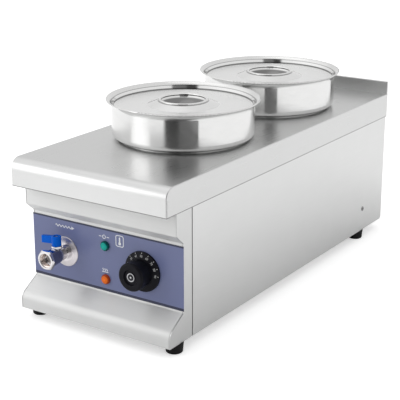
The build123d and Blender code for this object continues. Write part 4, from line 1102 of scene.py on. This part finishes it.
@dataclass
class Cabinet(SubAssembly):
    """Steel cabinet: worktop, fascia, sides, rear, base, feet and the screws that hold them."""

    head_radius: float = 3.6 * MM
    head_edge: float = 0.45 * MM
    head_crown: float = 0.62 * MM
    head_proud: float = 1.1 * MM
    head_sides: int = 40
    head_steps: int = 6
    head_crisp: float = 0.6
    shank_radius: float = 1.9 * MM
    shank_length: float = 6.0 * MM
    # The shank's middle is its length over this from the sheet, so that its top just enters the head.
    shank_seat: float = -2.001
    recess_length: float = 3.9 * MM
    recess_width: float = 0.85 * MM
    recess_depth: float = 0.8 * MM
    rear_rows: int = 3
    hem_height: float = 0.8 * MM
    zinc: Finish = BareMetal("zinc_plate", (0.62, 0.62, 0.60), 0.28)
    screw_steel: Finish = BareMetal("screw_steel", (0.30, 0.30, 0.30), 0.24)

    def dress(self) -> None:
        """Dresses sheets, feet and fixings."""
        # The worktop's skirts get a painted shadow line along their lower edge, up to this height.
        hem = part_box("worktop")[0].z + self.hem_height
        dress(BrushedSteel("worktop_brushed", (0.66, 0.662, 0.66), 0.30, Grain.ALONG_Y, hem), "worktop")
        dress(BrushedSteel("side_brushed", (0.71, 0.713, 0.71), 0.32, Grain.ALONG_Y),
              "left_side_panel", "right_side_panel")
        dress(BrushedSteel("front_brushed", (0.71, 0.713, 0.708), 0.44, Grain.ALONG_X, draw=0.85, metal=0.55),
              "front_fascia")
        dress(BrushedSteel("cheek_brushed", (0.68, 0.683, 0.68), 0.38, Grain.ALONG_Z),
              "left_cheek", "right_cheek")
        dress(BrushedSteel("rear_brushed", (0.67, 0.673, 0.67), 0.36, Grain.ALONG_X),
              "rear_panel", "base_tray")
        dress(Moulded("foot_rubber_black", (0.006, 0.006, 0.0065), 0.55, grain=0.8 * MM, depth=60.0 * MICRON,
                      drift=1.8, shine=0.2), "feet")
        dress(self.zinc, "foot_screws", "foot_nuts", "bonding_stud", "bonding_nuts", "thermostat_screws",
              "lamp_nuts", "element_nuts")

    def screw_tree(self, name: str, facing: Facing) -> Recipe:
        """Builds the tree of a pan-head screw with a cross recess, seated on points.

        Args:
            name: the tree's name.
            facing: the way the heads face.

        Returns:
            The tree.
        """
        tree = Recipe(name)
        radius, edge, crown = tree.sizes(self, "head_radius", "head_edge", "head_crown")
        length, width, depth = tree.sizes(self, "recess_length", "recess_width", "recess_depth")
        shank_radius, shank_length = tree.sizes(self, "shank_radius", "shank_length")
        blank = tree.add("GeometryNodeMeshCylinder", fill_type="TRIANGLE_FAN")
        tree.fill(blank, Radius=radius, Depth=edge)
        tree.fill(blank, Vertices=self.head_sides, Side_Segments=1, Fill_Segments=self.head_steps)
        x, y, z = tree.parts(tree.made("GeometryNodeInputPosition"))
        square = tree.sum("ADD", tree.sum("MULTIPLY", x, x), tree.sum("MULTIPLY", y, y))
        reach = tree.sum("DIVIDE", square, tree.sum("MULTIPLY", radius, radius))
        dome = tree.sum("MULTIPLY", tree.sum("SUBTRACT", 1.0, reach), crown)
        lift = tree.sum("MULTIPLY", dome, tree.sum("GREATER_THAN", z, 0.0))
        domed = tree.made("GeometryNodeSetPosition", Geometry=blank.outputs["Mesh"],
                          Offset=tree.upright(lift))
        cut = tree.add("GeometryNodeMeshBoolean", operation="DIFFERENCE", solver="EXACT")
        tree.fill(cut, Mesh_1=tree.shift(domed, tree.upright(tree.sum("DIVIDE", edge, 2.0))))
        for across, along in ((length, width), (width, length)):
            bar = tree.made("ShaderNodeCombineXYZ", X=across, Y=along, Z=tree.sum("MULTIPLY", depth, 2.0))
            block = tree.made("GeometryNodeMeshCube", Size=bar)
            tree.fill(cut, Mesh_2=tree.shift(block, tree.upright(tree.sum("ADD", edge, crown))))
        shank = tree.made("GeometryNodeMeshCylinder", Radius=shank_radius, Depth=shank_length)
        sunk = tree.shift(shank, tree.upright(tree.sum("DIVIDE", shank_length, self.shank_seat)))
        whole = tree.add("GeometryNodeJoinGeometry")
        for part in (sunk, cut.outputs["Mesh"]):
            tree.fill(whole, Geometry=part)
        seated = tree.made("GeometryNodeInstanceOnPoints", Points=tree.inlet.outputs["Geometry"],
                           Instance=whole.outputs[0], Rotation=tree.size("Facing", facing.value, "Vector"))
        tree.close(seated, self.screw_steel)
        return tree

    def screws(self, name: str, facing: Facing, seats: Sequence[Vector]) -> Piece:
        """Makes one row of screws.

        Args:
            name: the piece's name.
            facing: the way the heads face.
            seats: where the heads meet the sheet.

        Returns:
            The screws as one piece.
        """
        row = self.screw_tree(name + "_tree", facing).run(name, seats)
        soften(row.data, self.head_crisp)
        return row

    def build(self) -> list[Piece]:
        """Makes the side and rear screws.

        Returns:
            The pieces.
        """
        proud, reach = self.head_proud, self.head_radius
        low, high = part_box("side_screws")
        seat = middle("side_screws")
        ends = (("left_screw_row", Facing.LEFT, low.x + proud),
                ("right_screw_row", Facing.RIGHT, high.x - proud))
        rows = [self.screws(name, facing, [Vector((x, seat.y, seat.z))]) for name, facing, x in ends]
        meshes = [row.data for row in rows]
        for row in rows:
            bpy.data.objects.remove(row)
        sides = piece_from("side_screw_set", join_meshes("side_screw_set", meshes), self.screw_steel)
        low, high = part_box("rear_screws")
        first, last = low.z + reach, high.z - reach
        heights = [first + (last - first) * row / (self.rear_rows - 1) for row in range(self.rear_rows)]
        seats = [Vector((x, high.y - proud, z)) for x in (low.x + reach, high.x - reach) for z in heights]
        rear = self.screws("rear_screw_set", Facing.REAR, seats)
        carry(sides, Body.CABINET, "fixing_steel", "side_screws")
        carry(rear, Body.CABINET, "fixing_steel", "rear_screws")
        return [sides, rear]


@dataclass
class ControlPanel(SubAssembly):
    """Slate-blue panel with its two lamps and plain printed signs, which are drawn in millimetres."""

    print_thick: float = 0.05 * MM
    line: float = 1.1
    thin_line: float = 0.99
    frame_size: Point = (12.7, 15.4)
    frame_corner: float = 3.0
    lens_sides: int = 14
    lens_profile: tuple[Point, ...] = ((1.0, 0.0), (1.0, 0.50), (0.72, 0.89), (0.42, 0.955), (0.20, 0.99))
    ink: Finish = Ink("sign_ink")
    signs: dict[str, Point] = field(default_factory=lambda: {
        "drain_sign": (-66.0, 127.6), "power_sign": (-2.0, 126.6), "heat_sign": (-1.5, 81.6),
        "heat_level_sign": (22.6, 125.4)})

    def dress(self) -> None:
        """Dresses the panel and the lamps' bodies."""
        low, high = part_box("control_overlay")
        dress(PrintedPanel("panel_print", low.z, high.z), "control_overlay")
        dress(Moulded("lamp_body_white", (0.55, 0.55, 0.53), 0.45), "power_lamp_body", "heat_lamp_body")

    def drain_sign(self) -> list[Loop]:
        """Draws a long ripple that ends in an arrow.

        Returns:
            The sign's outlines.
        """
        start, step, count, height, pitch = -15.0, 0.4, 66, 1.25, 5.2
        along = [step * place for place in range(count)]
        ripple = [(start + x, height * math.sin(x * math.tau / pitch)) for x in along]
        return [stroke(ripple, self.line), [(11.4, 2.3), (16.0, 0.0), (11.4, -2.3)]]

    def power_sign(self) -> list[Loop]:
        """Draws an open ring with a bar, between two short bars.

        Returns:
            The sign's outlines.
        """
        ring = arc((0.0, 0.0), 2.3, 130.0, 410.0, 24)
        bars = [[(x, 0.0), (x + 3.8, 0.0)] for x in (-8.0, 4.2)]
        return [stroke(points, self.thin_line) for points in (ring, [(0.0, 0.6), (0.0, 3.2)], *bars)]

    def heat_sign(self) -> list[Loop]:
        """Draws three rising waves over a bar.

        Returns:
            The sign's outlines.
        """
        turns, swing, foot, rise = 12, 0.6, -0.9, 0.27
        steps = range(turns + 1)
        waves = [[(x + swing * math.sin(step * math.tau / turns), foot + rise * step) for step in steps]
                 for x in (-3.1, 0.0, 3.1)]
        return [stroke(points, self.thin_line) for points in (*waves, [(-5.0, -2.3), (5.0, -2.3)])]

    def heat_level_sign(self) -> list[Loop]:
        """Draws a thermometer in a round-cornered frame.

        Returns:
            The sign's outlines.
        """
        wide, tall = self.frame_size
        outer = rounded_box(wide, tall, self.frame_corner)
        inner = rounded_box(wide - 2 * self.line, tall - 2 * self.line, self.frame_corner - self.line)
        bulb = arc((0.0, -3.4), 2.1, 120.0, 420.0, 24)
        stem = arc((0.0, 4.0), 1.05, 0.0, 180.0, 12)
        return [outer, inner, bulb + stem]

    def sign(self, name: str, loops: Sequence[Loop], face: float) -> Piece:
        """Prints a sign on the panel.

        Args:
            name: the sign's name, which also says where it goes.
            loops: its outlines in mm.
            face: the panel's front face, along y.

        Returns:
            The sign's piece.
        """
        mesh = flat_print(name, [[(x * MM, y * MM) for x, y in loop] for loop in loops], self.print_thick)
        across, up = self.signs[name]
        bend_mesh(mesh, lambda p: Vector((p.x + across * MM, face - p.z, p.y + up * MM)))
        return carry(piece_from(name, mesh, self.ink), Body.CABINET, "overlay_blue")

    def lens(self, name: str, node: str, slot: str, tint: LampTint) -> Piece:
        """Makes a faceted lamp lens in a node's place.

        Args:
            name: the lens's name.
            node: the node it stands for.
            slot: the name of a material slot, which carry takes but doesn't use.
            tint: its colours.

        Returns:
            The lens's piece.
        """
        low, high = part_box(node)
        centre = middle(node)
        radius, deep = (high.x - low.x) / 2, high.y - low.y
        sides = range(self.lens_sides)
        work = bmesh.new()
        rings = []
        for level, (reach, rise) in enumerate(self.lens_profile):
            half = 0.5 if level > 1 and level % 2 == 0 else 0.0
            turns = [math.tau * (side + half) / self.lens_sides for side in sides]
            rings.append([work.verts.new((centre.x + radius * reach * math.sin(turn), high.y - deep * rise,
                                          centre.z + radius * reach * math.cos(turn))) for turn in turns])
        top = work.verts.new((centre.x, low.y, centre.z))
        work.faces.new(rings[0][::-1])
        for level, (outer, inner) in enumerate(zip(rings, rings[1:])):
            for side in sides:
                following = (side + 1) % self.lens_sides
                a, b, c, d = outer[side], outer[following], inner[side], inner[following]
                if level == 0:
                    facets = ((a, b, d, c),)
                elif level % 2 == 0:
                    facets = ((a, d, c), (a, b, d))
                else:
                    facets = ((a, b, c), (b, d, c))
                for corners in facets:
                    work.faces.new(corners)
        for side in sides:
            work.faces.new((rings[-1][side], rings[-1][(side + 1) % self.lens_sides], top))
        bmesh.ops.recalc_face_normals(work, faces=work.faces)
        mesh = bpy.data.meshes.new(name)
        work.to_mesh(mesh)
        work.free()
        finish = LensPlastic(name + "_tint", (centre.x, low.y, centre.z), radius, tint)
        return carry(piece_from(name, mesh, finish), Body.CABINET, slot, node)

    def build(self) -> list[Piece]:
        """Prints the signs and makes the lenses.

        Returns:
            The pieces.
        """
        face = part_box("control_overlay")[0].y
        drawings = {"drain_sign": self.drain_sign, "power_sign": self.power_sign,
                    "heat_sign": self.heat_sign, "heat_level_sign": self.heat_level_sign}
        pieces = [self.sign(name, draw(), face) for name, draw in drawings.items()]
        pieces.append(self.lens("power_lens", "power_lamp_lens", "lens_green", LampTint.GREEN))
        pieces.append(self.lens("heat_lens", "heat_lamp_lens", "lens_orange", LampTint.ORANGE))
        return pieces


@dataclass
class DrainTap(SubAssembly):
    """Drain tap: plated body, escutcheon and nuts, blue lever, and the thread in its outlet."""

    bore_radius: float = 9.3 * MM
    thread_start: float = 0.9 * MM
    thread_length: float = 9.2 * MM
    thread_turns: float = 6.5
    thread_height: float = 0.55 * MM
    thread_steps: int = 36
    thread_sides: int = 4
    thread_crisp: float = 0.9
    thread_plate: Finish = BareMetal("outlet_brass_plated", (0.95, 0.83, 0.77), 0.22, blotch=4.0 * MM,
                                     contrast=0.75)

    def dress(self) -> None:
        """Dresses the tap's nodes."""
        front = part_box("valve_body")[0].y
        dress(TapPlate("valve_plate", front, tuple(middle("tap_flange"))), "valve_body")
        dress(BareMetal("flange_satin_plate", (0.78, 0.74, 0.76), 0.30, blotch=12.0 * MM, contrast=0.86,
                        pits=10.0 * MICRON), "tap_flange")
        dress(BareMetal("nut_chrome_plate", (0.84, 0.83, 0.83), 0.12, blotch=10.0 * MM, contrast=0.92,
                        pits=8.0 * MICRON), "stem_nut")
        dress(BareMetal("ball_chrome_plate", (0.84, 0.83, 0.82), 0.08, blotch=10.0 * MM, contrast=0.94,
                        pits=4.0 * MICRON), "valve_ball", "valve_stem")
        dress(Moulded("seat_white", (0.75, 0.75, 0.73), 0.5, drift=1.1), "ball_seats")
        dress(Moulded("lever_blue_paint", (0.0, 0.108, 0.58), 0.30, grain=0.9 * MM, depth=20.0 * MICRON,
                      drift=1.12, shine=0.07), "tap_lever")
        dress(BareMetal("lever_screw_steel", (0.60, 0.60, 0.59), 0.26), "lever_screw")
        dress(BareMetal("pipe_brass_drawn", (0.70, 0.50, 0.22), 0.32, blotch=20.0 * MM, contrast=0.80),
              "drain_pipe", "tap_lock_nut")

    def thread_tree(self) -> Recipe:
        """Builds the tree of a screw thread that winds up from the origin.

        Returns:
            The tree.
        """
        tree = Recipe("outlet_thread_tree")
        radius, turns, length, height = tree.sizes(
            self, "bore_radius", "thread_turns", "thread_length", "thread_height")
        steps = tree.size("Thread Steps", self.thread_steps, "Int")
        path = tree.made("GeometryNodeCurveSpiral", Resolution=steps, Rotations=turns, Start_Radius=radius,
                         End_Radius=radius, Height=length)
        ridge = tree.made("GeometryNodeCurvePrimitiveCircle", Resolution=self.thread_sides, Radius=height)
        tree.close(tree.made("GeometryNodeCurveToMesh", Curve=path, Profile_Curve=ridge, Fill_Caps=True),
                   self.thread_plate)
        return tree

    def build(self) -> list[Piece]:
        """Winds the thread of the outlet.

        Returns:
            The pieces.
        """
        thread = self.thread_tree().run("outlet_thread")
        axis = middle("tap_flange")
        start = Matrix.Translation((axis.x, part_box("valve_body")[0].y + self.thread_start, axis.z))
        thread.data.transform(start @ Matrix.Rotation(-math.pi / 2, 4, "X"))
        soften(thread.data, self.thread_crisp)
        return [carry(thread, Body.CABINET, "tap_chrome")]


@dataclass
class ThermostatKnob(SubAssembly):
    """Thermostat knob: black knob with a dial skirt, silver disc, white figures and ticks."""

    rim_radius: float = 26.2 * MM
    rim_front: float = 33.4 * MM
    hub_radius: float = 17.3 * MM
    hub_front: float = 30.8 * MM
    front_datum: float = 306.9 * MM
    figure_tall: float = 3.9 * MM
    figure_radius: float = 20.9 * MM
    print_thick: float = 0.06 * MM
    zero_turn: float = -68.0
    first_turn: float = -46.0
    figure_step: float = 23.3
    figures: tuple[str, ...] = ("30", "40", "50", "60", "70", "80", "90")
    tick_radius: float = 24.6 * MM
    tick_width: float = 0.7 * MM
    tick_length: float = 1.7 * MM
    ink: Finish = Ink("dial_ink", (0.58, 0.58, 0.58))

    def dress(self) -> None:
        """Dresses the knob, its disc and its spindle."""
        dress(Moulded("knob_black_phenolic", (0.0045, 0.0045, 0.007), 0.36, grain=0.7 * MM, drift=1.6,
                      shine=0.12), "thermostat_knob")
        low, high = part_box("knob_disc")
        dress(RingedDisc("disc_silver", tuple(middle("knob_disc")), (high.x - low.x) / 2), "knob_disc")
        dress(BareMetal("spindle_steel", (0.58, 0.58, 0.57), 0.30), "thermostat_spindle")

    def on_dial(self, turn: float, radius: float) -> Callable[[Vector], Vector]:
        """Makes the rule that lays flat print on the dial's cone.

        Args:
            turn: where the print's middle goes, in degrees clockwise from the top.
            radius: the circle that the print's middle lies on.

        Returns:
            The rule from a flat place to the dial.
        """
        axis = middle("thermostat_spindle")
        slope = (self.rim_front - self.hub_front) / (self.rim_radius - self.hub_radius)

        def rule(p: Vector) -> Vector:
            """Lays one point on the cone.

            Args:
                p: its place in the flat print.

            Returns:
                Its place on the dial.
            """
            reach = radius + p.y
            angle = math.radians(turn) + p.x / radius
            front = self.hub_front + (reach - self.hub_radius) * slope - self.front_datum
            return Vector((axis.x + reach * math.sin(angle), front - p.z, axis.z + reach * math.cos(angle)))

        return rule

    def tick_tree(self) -> Recipe:
        """Builds the tree of a row of ticks along x, one for each figure but 0.

        Returns:
            The tree.
        """
        tree = Recipe("dial_tick_tree")
        step = tree.size("Step", math.radians(self.figure_step) * self.tick_radius)
        count = tree.size("Count", len(self.figures), "Int")
        width, length, thick = tree.sizes(self, "tick_width", "tick_length", "print_thick")
        row = tree.made("GeometryNodeMeshLine", Count=count, Offset=tree.made("ShaderNodeCombineXYZ", X=step))
        bar = tree.made("ShaderNodeCombineXYZ", X=width, Y=length, Z=thick)
        block = tree.made("GeometryNodeMeshCube", Size=bar)
        raised = tree.shift(block, tree.upright(tree.sum("DIVIDE", thick, 2.0)))
        tree.close(tree.made("GeometryNodeInstanceOnPoints", Points=row, Instance=raised), self.ink)
        return tree

    def build(self) -> list[Piece]:
        """Prints the dial's figures and ticks.

        Returns:
            The pieces.
        """
        places = range(len(self.figures))
        turns = [self.zero_turn] + [self.first_turn + self.figure_step * place for place in places]
        meshes = []
        for text, turn in zip(("0",) + self.figures, turns):
            mesh = figure("figure_" + text, text, self.figure_tall, self.print_thick)
            bend_mesh(mesh, self.on_dial(turn, self.figure_radius))
            meshes.append(mesh)
        figures = piece_from("dial_figures", join_meshes("dial_figures", meshes), self.ink)
        ticks = self.tick_tree().run("dial_ticks")
        bend_mesh(ticks.data, self.on_dial(self.first_turn, self.tick_radius))
        return [carry(piece, Body.THERMOSTAT, "knob_black") for piece in (figures, ticks)]


@dataclass
class Pots(SubAssembly):
    """Two polished pots with their lids and cup-shaped lid knobs."""

    places: tuple[str, ...] = ("front", "rear")
    pot_tint: Colour = (0.79, 0.79, 0.785)
    cup_tint: Colour = (0.82, 0.82, 0.815)
    # Painted shade: dark inside the cup, where dark reflections and shade fall, and a painted shadow line
    # just outside its bead.
    cup_painted_shade: tuple[Point, ...] = (
        (0.0, 0.26), (28.6 * MM, 0.26), (29.8 * MM, 1.0), (33.1 * MM, 1.0), (33.4 * MM, 0.52),
        (34.3 * MM, 0.52), (34.8 * MM, 1.0), (50.0 * MM, 1.0))

    def dress(self) -> None:
        """Dresses each pot, lid and lid knob round its own axis."""
        for place in self.places:
            axis = tuple(middle(place + "_pot"))
            dress(PolishedSteel(place + "_pot_polish", axis, self.pot_tint), place + "_pot")
            dress(LidSteel(place + "_lid_satin", axis), place + "_lid")
            dress(PolishedSteel(place + "_lid_knob_polish", axis, self.cup_tint, gloss=0.12, draw=0.6,
                                rings=self.cup_painted_shade), place + "_lid_knob")


@dataclass
class HeatingBay(SubAssembly):
    """Water tank, element, thermostat parts and wiring inside the cabinet."""

    def dress(self) -> None:
        """Dresses the hidden working parts."""
        dress(BrushedSteel("tank_brushed", (0.68, 0.685, 0.68), 0.30, Grain.ALONG_Y),
              "water_tank", "element_supports", "bulb_clip")
        dress(BareMetal("element_sheath_oxide", (0.30, 0.27, 0.25), 0.42, blotch=20.0 * MM, contrast=0.6),
              "heating_element")
        dress(BareMetal("bush_brass", (0.70, 0.50, 0.22), 0.32, blotch=10.0 * MM),
              "element_bushes", "capillary_gland")
        dress(Moulded("gasket_red", (0.40, 0.05, 0.03), 0.6, grain=0.9 * MM), "element_gaskets")
        dress(BareMetal("bulb_copper_drawn", (0.80, 0.42, 0.28), 0.28, blotch=20.0 * MM, contrast=0.8),
              "thermostat_bulb")
        dress(Moulded("case_plastic_ivory", (0.56, 0.54, 0.47), 0.45),
              "boil_dry_cutout", "thermostat_body", "terminal_block")
        dress(Moulded("lead_sleeve_silicone", (0.42, 0.40, 0.36), 0.55, grain=0.5 * MM), "internal_leads")


@dataclass
class RearFittings(SubAssembly):
    """Cable gland at the rear."""

    def dress(self) -> None:
        """Dresses the gland and its nut."""
        dress(Moulded("gland_black", (0.018, 0.018, 0.019), 0.42, grain=0.7 * MM), "cable_gland", "gland_nut")


@dataclass(frozen=True)
class Lamp:
    """One soft area lamp."""

    name: str
    place: Triple
    aim: Triple
    size: float
    power: float

    def hang(self) -> None:
        """Hangs the lamp, out of the camera's sight."""
        light = bpy.data.lights.new(self.name, "AREA")
        light.shape = "DISK"
        light.size = self.size
        light.energy = self.power
        holder = link(self.name, light)
        away = Vector(self.place) - Vector(self.aim)
        turn = away.to_track_quat("Z", "Y").to_matrix().to_4x4()
        holder.matrix_world = Matrix.Translation(self.place) @ turn
        holder.visible_camera = False


def greys(levels: Sequence[Point]) -> list[tuple[float, Colour]]:
    """Turns places and grey levels into a ramp's stops."""
    return [(place, (level,) * 3) for place, level in levels]


@dataclass
class Studio:
    """Pale floor, soft dome, lamps, a dark card for the polished pots to mirror, and the camera."""

    floor_reach: float = 14.0
    floor_drop: float = 0.2 * MM
    floor_tint: float = 0.84
    floor_glow: float = 0.48
    floor_far: float = 0.34
    floor_fade: float = 0.28
    footprint: Point = (0.12, 0.30)
    dome_levels: tuple[Point, ...] = ((0.0, 0.60), (0.30, 0.72), (0.85, 0.80))
    mirror_levels: tuple[Point, ...] = ((0.0, 0.76), (0.30, 0.78), (0.85, 0.80))
    dome_strength: float = 1.06
    glow_side: Triple = (-0.55, -0.30, 0.78)
    glow_edge: float = 0.5
    glow_level: float = 0.3
    card_left: float = 0.43
    card_right: float = 0.23
    card_tall: float = 1.2
    card_distance: float = 0.75
    card_fades: Point = (0.10, 0.98)
    card_greys: tuple[Point, ...] = (
        (0.0, 0.05), (0.42, 0.05), (0.52, 0.15), (0.93, 0.17), (0.97, 0.04), (1.0, 0.04))
    sensor: float = 36.0
    focal_pixels: float = 1145.93
    picture_pixels: float = 400.0
    sight: float = 100.0
    eye: Triple = (0.847208, -1.330911, 0.614472)
    back: Triple = (0.526498, -0.792053, 0.308951)
    swing: float = 33.61
    lamps: tuple[Lamp, ...] = (
        Lamp("key_lamp", (-0.44, -0.76, 0.36), (0.0, -0.28, 0.11), size=0.5, power=0.62),
        Lamp("top_lamp", (-0.6, 0.1, 2.4), (0.0, 0.0, 0.15), size=1.6, power=1.2),
    )

    def shown_ray(self, bench: Bench) -> Socket:
        """Tells the rays that show the background from those that only carry light.

        Args:
            bench: the tree it is added to.

        Returns:
            1 for what the camera, a mirror or clear glass shows, else 0.
        """
        path = bench.add("ShaderNodeLightPath").outputs
        through = bench.sum("MAXIMUM", path["Is Glossy Ray"], path["Is Transmission Ray"])
        return bench.sum("MAXIMUM", path["Is Camera Ray"], through)

    def camera_ray(self, bench: Bench) -> Socket:
        """Gives 1 for what the camera shows, else 0."""
        return bench.add("ShaderNodeLightPath").outputs["Is Camera Ray"]

    def sheet(self, name: str, finish: str, corners: Sequence[Sequence[float]]) -> tuple[Piece, ShaderBench]:
        """Makes a flat sheet with a bare material.

        Args:
            name: the sheet's name.
            finish: the material's name.
            corners: its four corners.

        Returns:
            The sheet, and the bench on which its material is laid out.
        """
        mesh = bpy.data.meshes.new(name)
        mesh.from_pydata(corners, [], [(0, 1, 2, 3)])
        bench = ShaderBench(finish)
        bench.tree.nodes.remove(bench.shader)
        mesh.materials.append(bench.material)
        return link(name, mesh), bench

    def floor(self) -> Piece:
        """Lays the floor, white to the camera; in mirrors its glow grows with the distance from the object, a
        painted shadow round it.

        Returns:
            The floor.
        """
        reach, down = self.floor_reach, -self.floor_drop
        floor, bench = self.sheet("studio_floor", "studio_floor_pale", [
            (-reach, -reach, down), (reach, -reach, down), (reach, reach, down), (-reach, reach, down)])
        plain = bench.made("ShaderNodeBsdfDiffuse", Color=(self.floor_tint,) * 3 + (1.0,))
        # Painted shadow: the glow that mirrors show is least at the object's footprint and grows outward.
        beside, before = (bench.sum("SUBTRACT", bench.sum("ABSOLUTE", along), half)
                          for along, half in zip(bench.parts(bench.object_place), self.footprint))
        distance = bench.sum("MAXIMUM", beside, before)
        mirrored = bench.spread(distance, 0.0, self.floor_far, 0.0, self.floor_fade)
        seen = bench.sum("MULTIPLY", self.camera_ray(bench), self.floor_glow)
        glow = bench.made("ShaderNodeEmission", Strength=bench.sum("MAXIMUM", mirrored, seen))
        lifted = bench.add("ShaderNodeAddShader", plain, glow).outputs[0]
        bench.fill(bench.output, Surface=bench.choose(self.shown_ray(bench), plain, lifted))
        return floor

    def card(self) -> Piece:
        """Stands a soft-edged dark card beside the camera, which only mirrors show.

        Returns:
            The card.
        """
        toward = Vector((self.back[0], self.back[1], 0.0)).normalized()
        side = Vector((-toward.y, toward.x, 0.0))
        foot = toward * self.card_distance
        left, right = foot - side * self.card_left, foot + side * self.card_right
        top = Vector((0.0, 0.0, self.card_tall))
        card, bench = self.sheet("studio_card", "studio_card_dark", [left, right, right + top, left + top])
        places = card.data.uv_layers.new(name="card")
        for loop, place in zip(places.data, ((0.0, 0.0), (1.0, 0.0), (1.0, 1.0), (0.0, 1.0))):
            loop.uv = place
        across = bench.parts(bench.add("ShaderNodeUVMap", uv_map="card").outputs[0])[0]
        dark = bench.made("ShaderNodeEmission", Color=bench.bands(across, greys(self.card_greys)))
        clear = bench.made("ShaderNodeBsdfTransparent")
        fade_in, fade_out = self.card_fades
        edge = bench.sum("MULTIPLY", bench.spread(across, 0.0, 1.0, 0.0, fade_in),
                         bench.spread(across, 1.0, 0.0, fade_out, 1.0))
        bench.fill(bench.output, Surface=bench.choose(edge, clear, dark))
        for ray in ("camera", "diffuse", "transmission", "volume_scatter", "shadow"):
            setattr(card, "visible_" + ray, False)
        return card

    def dome(self) -> None:
        """Lights the world by a soft dome, which is white to the camera and graded in mirrors."""
        world = bpy.data.worlds.new("studio_dome")
        world.use_nodes = True
        bench = Bench(world.node_tree)
        direction = bench.add("ShaderNodeTexCoord").outputs["Generated"]
        height = bench.parts(direction)[2]
        aim = tuple(Vector(self.glow_side).normalized())
        toward = bench.add("ShaderNodeVectorMath", direction, aim, operation="DOT_PRODUCT").outputs["Value"]
        glow = bench.fill(bench.add("ShaderNodeMapRange", interpolation_type="SMOOTHSTEP"), Value=toward,
                          From_Min=self.glow_edge, From_Max=1.0, To_Max=self.glow_level)
        strength = bench.sum("ADD", self.dome_strength, glow.outputs[0])
        light, mirrored = (
            bench.made("ShaderNodeBackground", Color=bench.bands(height, greys(levels), Ramp.EVEN),
                       Strength=strength)
            for levels in (self.dome_levels, self.mirror_levels))
        white = bench.made("ShaderNodeBackground", Color=(1.0, 1.0, 1.0, 1.0))
        shown = bench.choose(self.camera_ray(bench), mirrored, white)
        bench.add("ShaderNodeOutputWorld", bench.choose(self.shown_ray(bench), light, shown))
        bpy.context.scene.world = world

    def camera(self) -> None:
        """Sets the camera where the photograph was taken from."""
        settings = bpy.data.cameras.new("studio_camera")
        settings.sensor_width = self.sensor
        settings.lens = self.focal_pixels * self.sensor / self.picture_pixels
        settings.clip_end = self.sight
        camera = link("studio_camera", settings)
        back = Vector(self.back).normalized()
        turn = math.radians(self.swing)
        right = Vector((math.cos(turn), math.sin(turn), 0.0))
        matrix = Matrix((right, back.cross(right), back)).transposed().to_4x4()
        matrix.translation = Vector(self.eye)
        camera.matrix_world = matrix
        bpy.context.scene.camera = camera

    def set_up(self) -> None:
        """Sets up the floor, card, light and camera."""
        self.floor()
        self.card()
        self.dome()
        for lamp in self.lamps:
            lamp.hang()
        self.camera()
        bpy.context.scene.view_settings.view_transform = "Standard"


def main() -> None:
    """Builds the sub-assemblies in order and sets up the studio."""
    logging.basicConfig(level=logging.INFO, format="%(name)s: %(message)s")
    groups = (Cabinet(), ControlPanel(), DrainTap(), ThermostatKnob(), Pots(), HeatingBay(), RearFittings())
    for group in groups:
        pieces = group.make()
        LOG.info("%s added %d pieces", type(group).__name__, len(pieces))
        for piece in pieces:
            LOG.info("%s has %d faces", piece.name, len(piece.data.polygons))
    Studio().set_up()


if __name__ == "__main__":
    main()
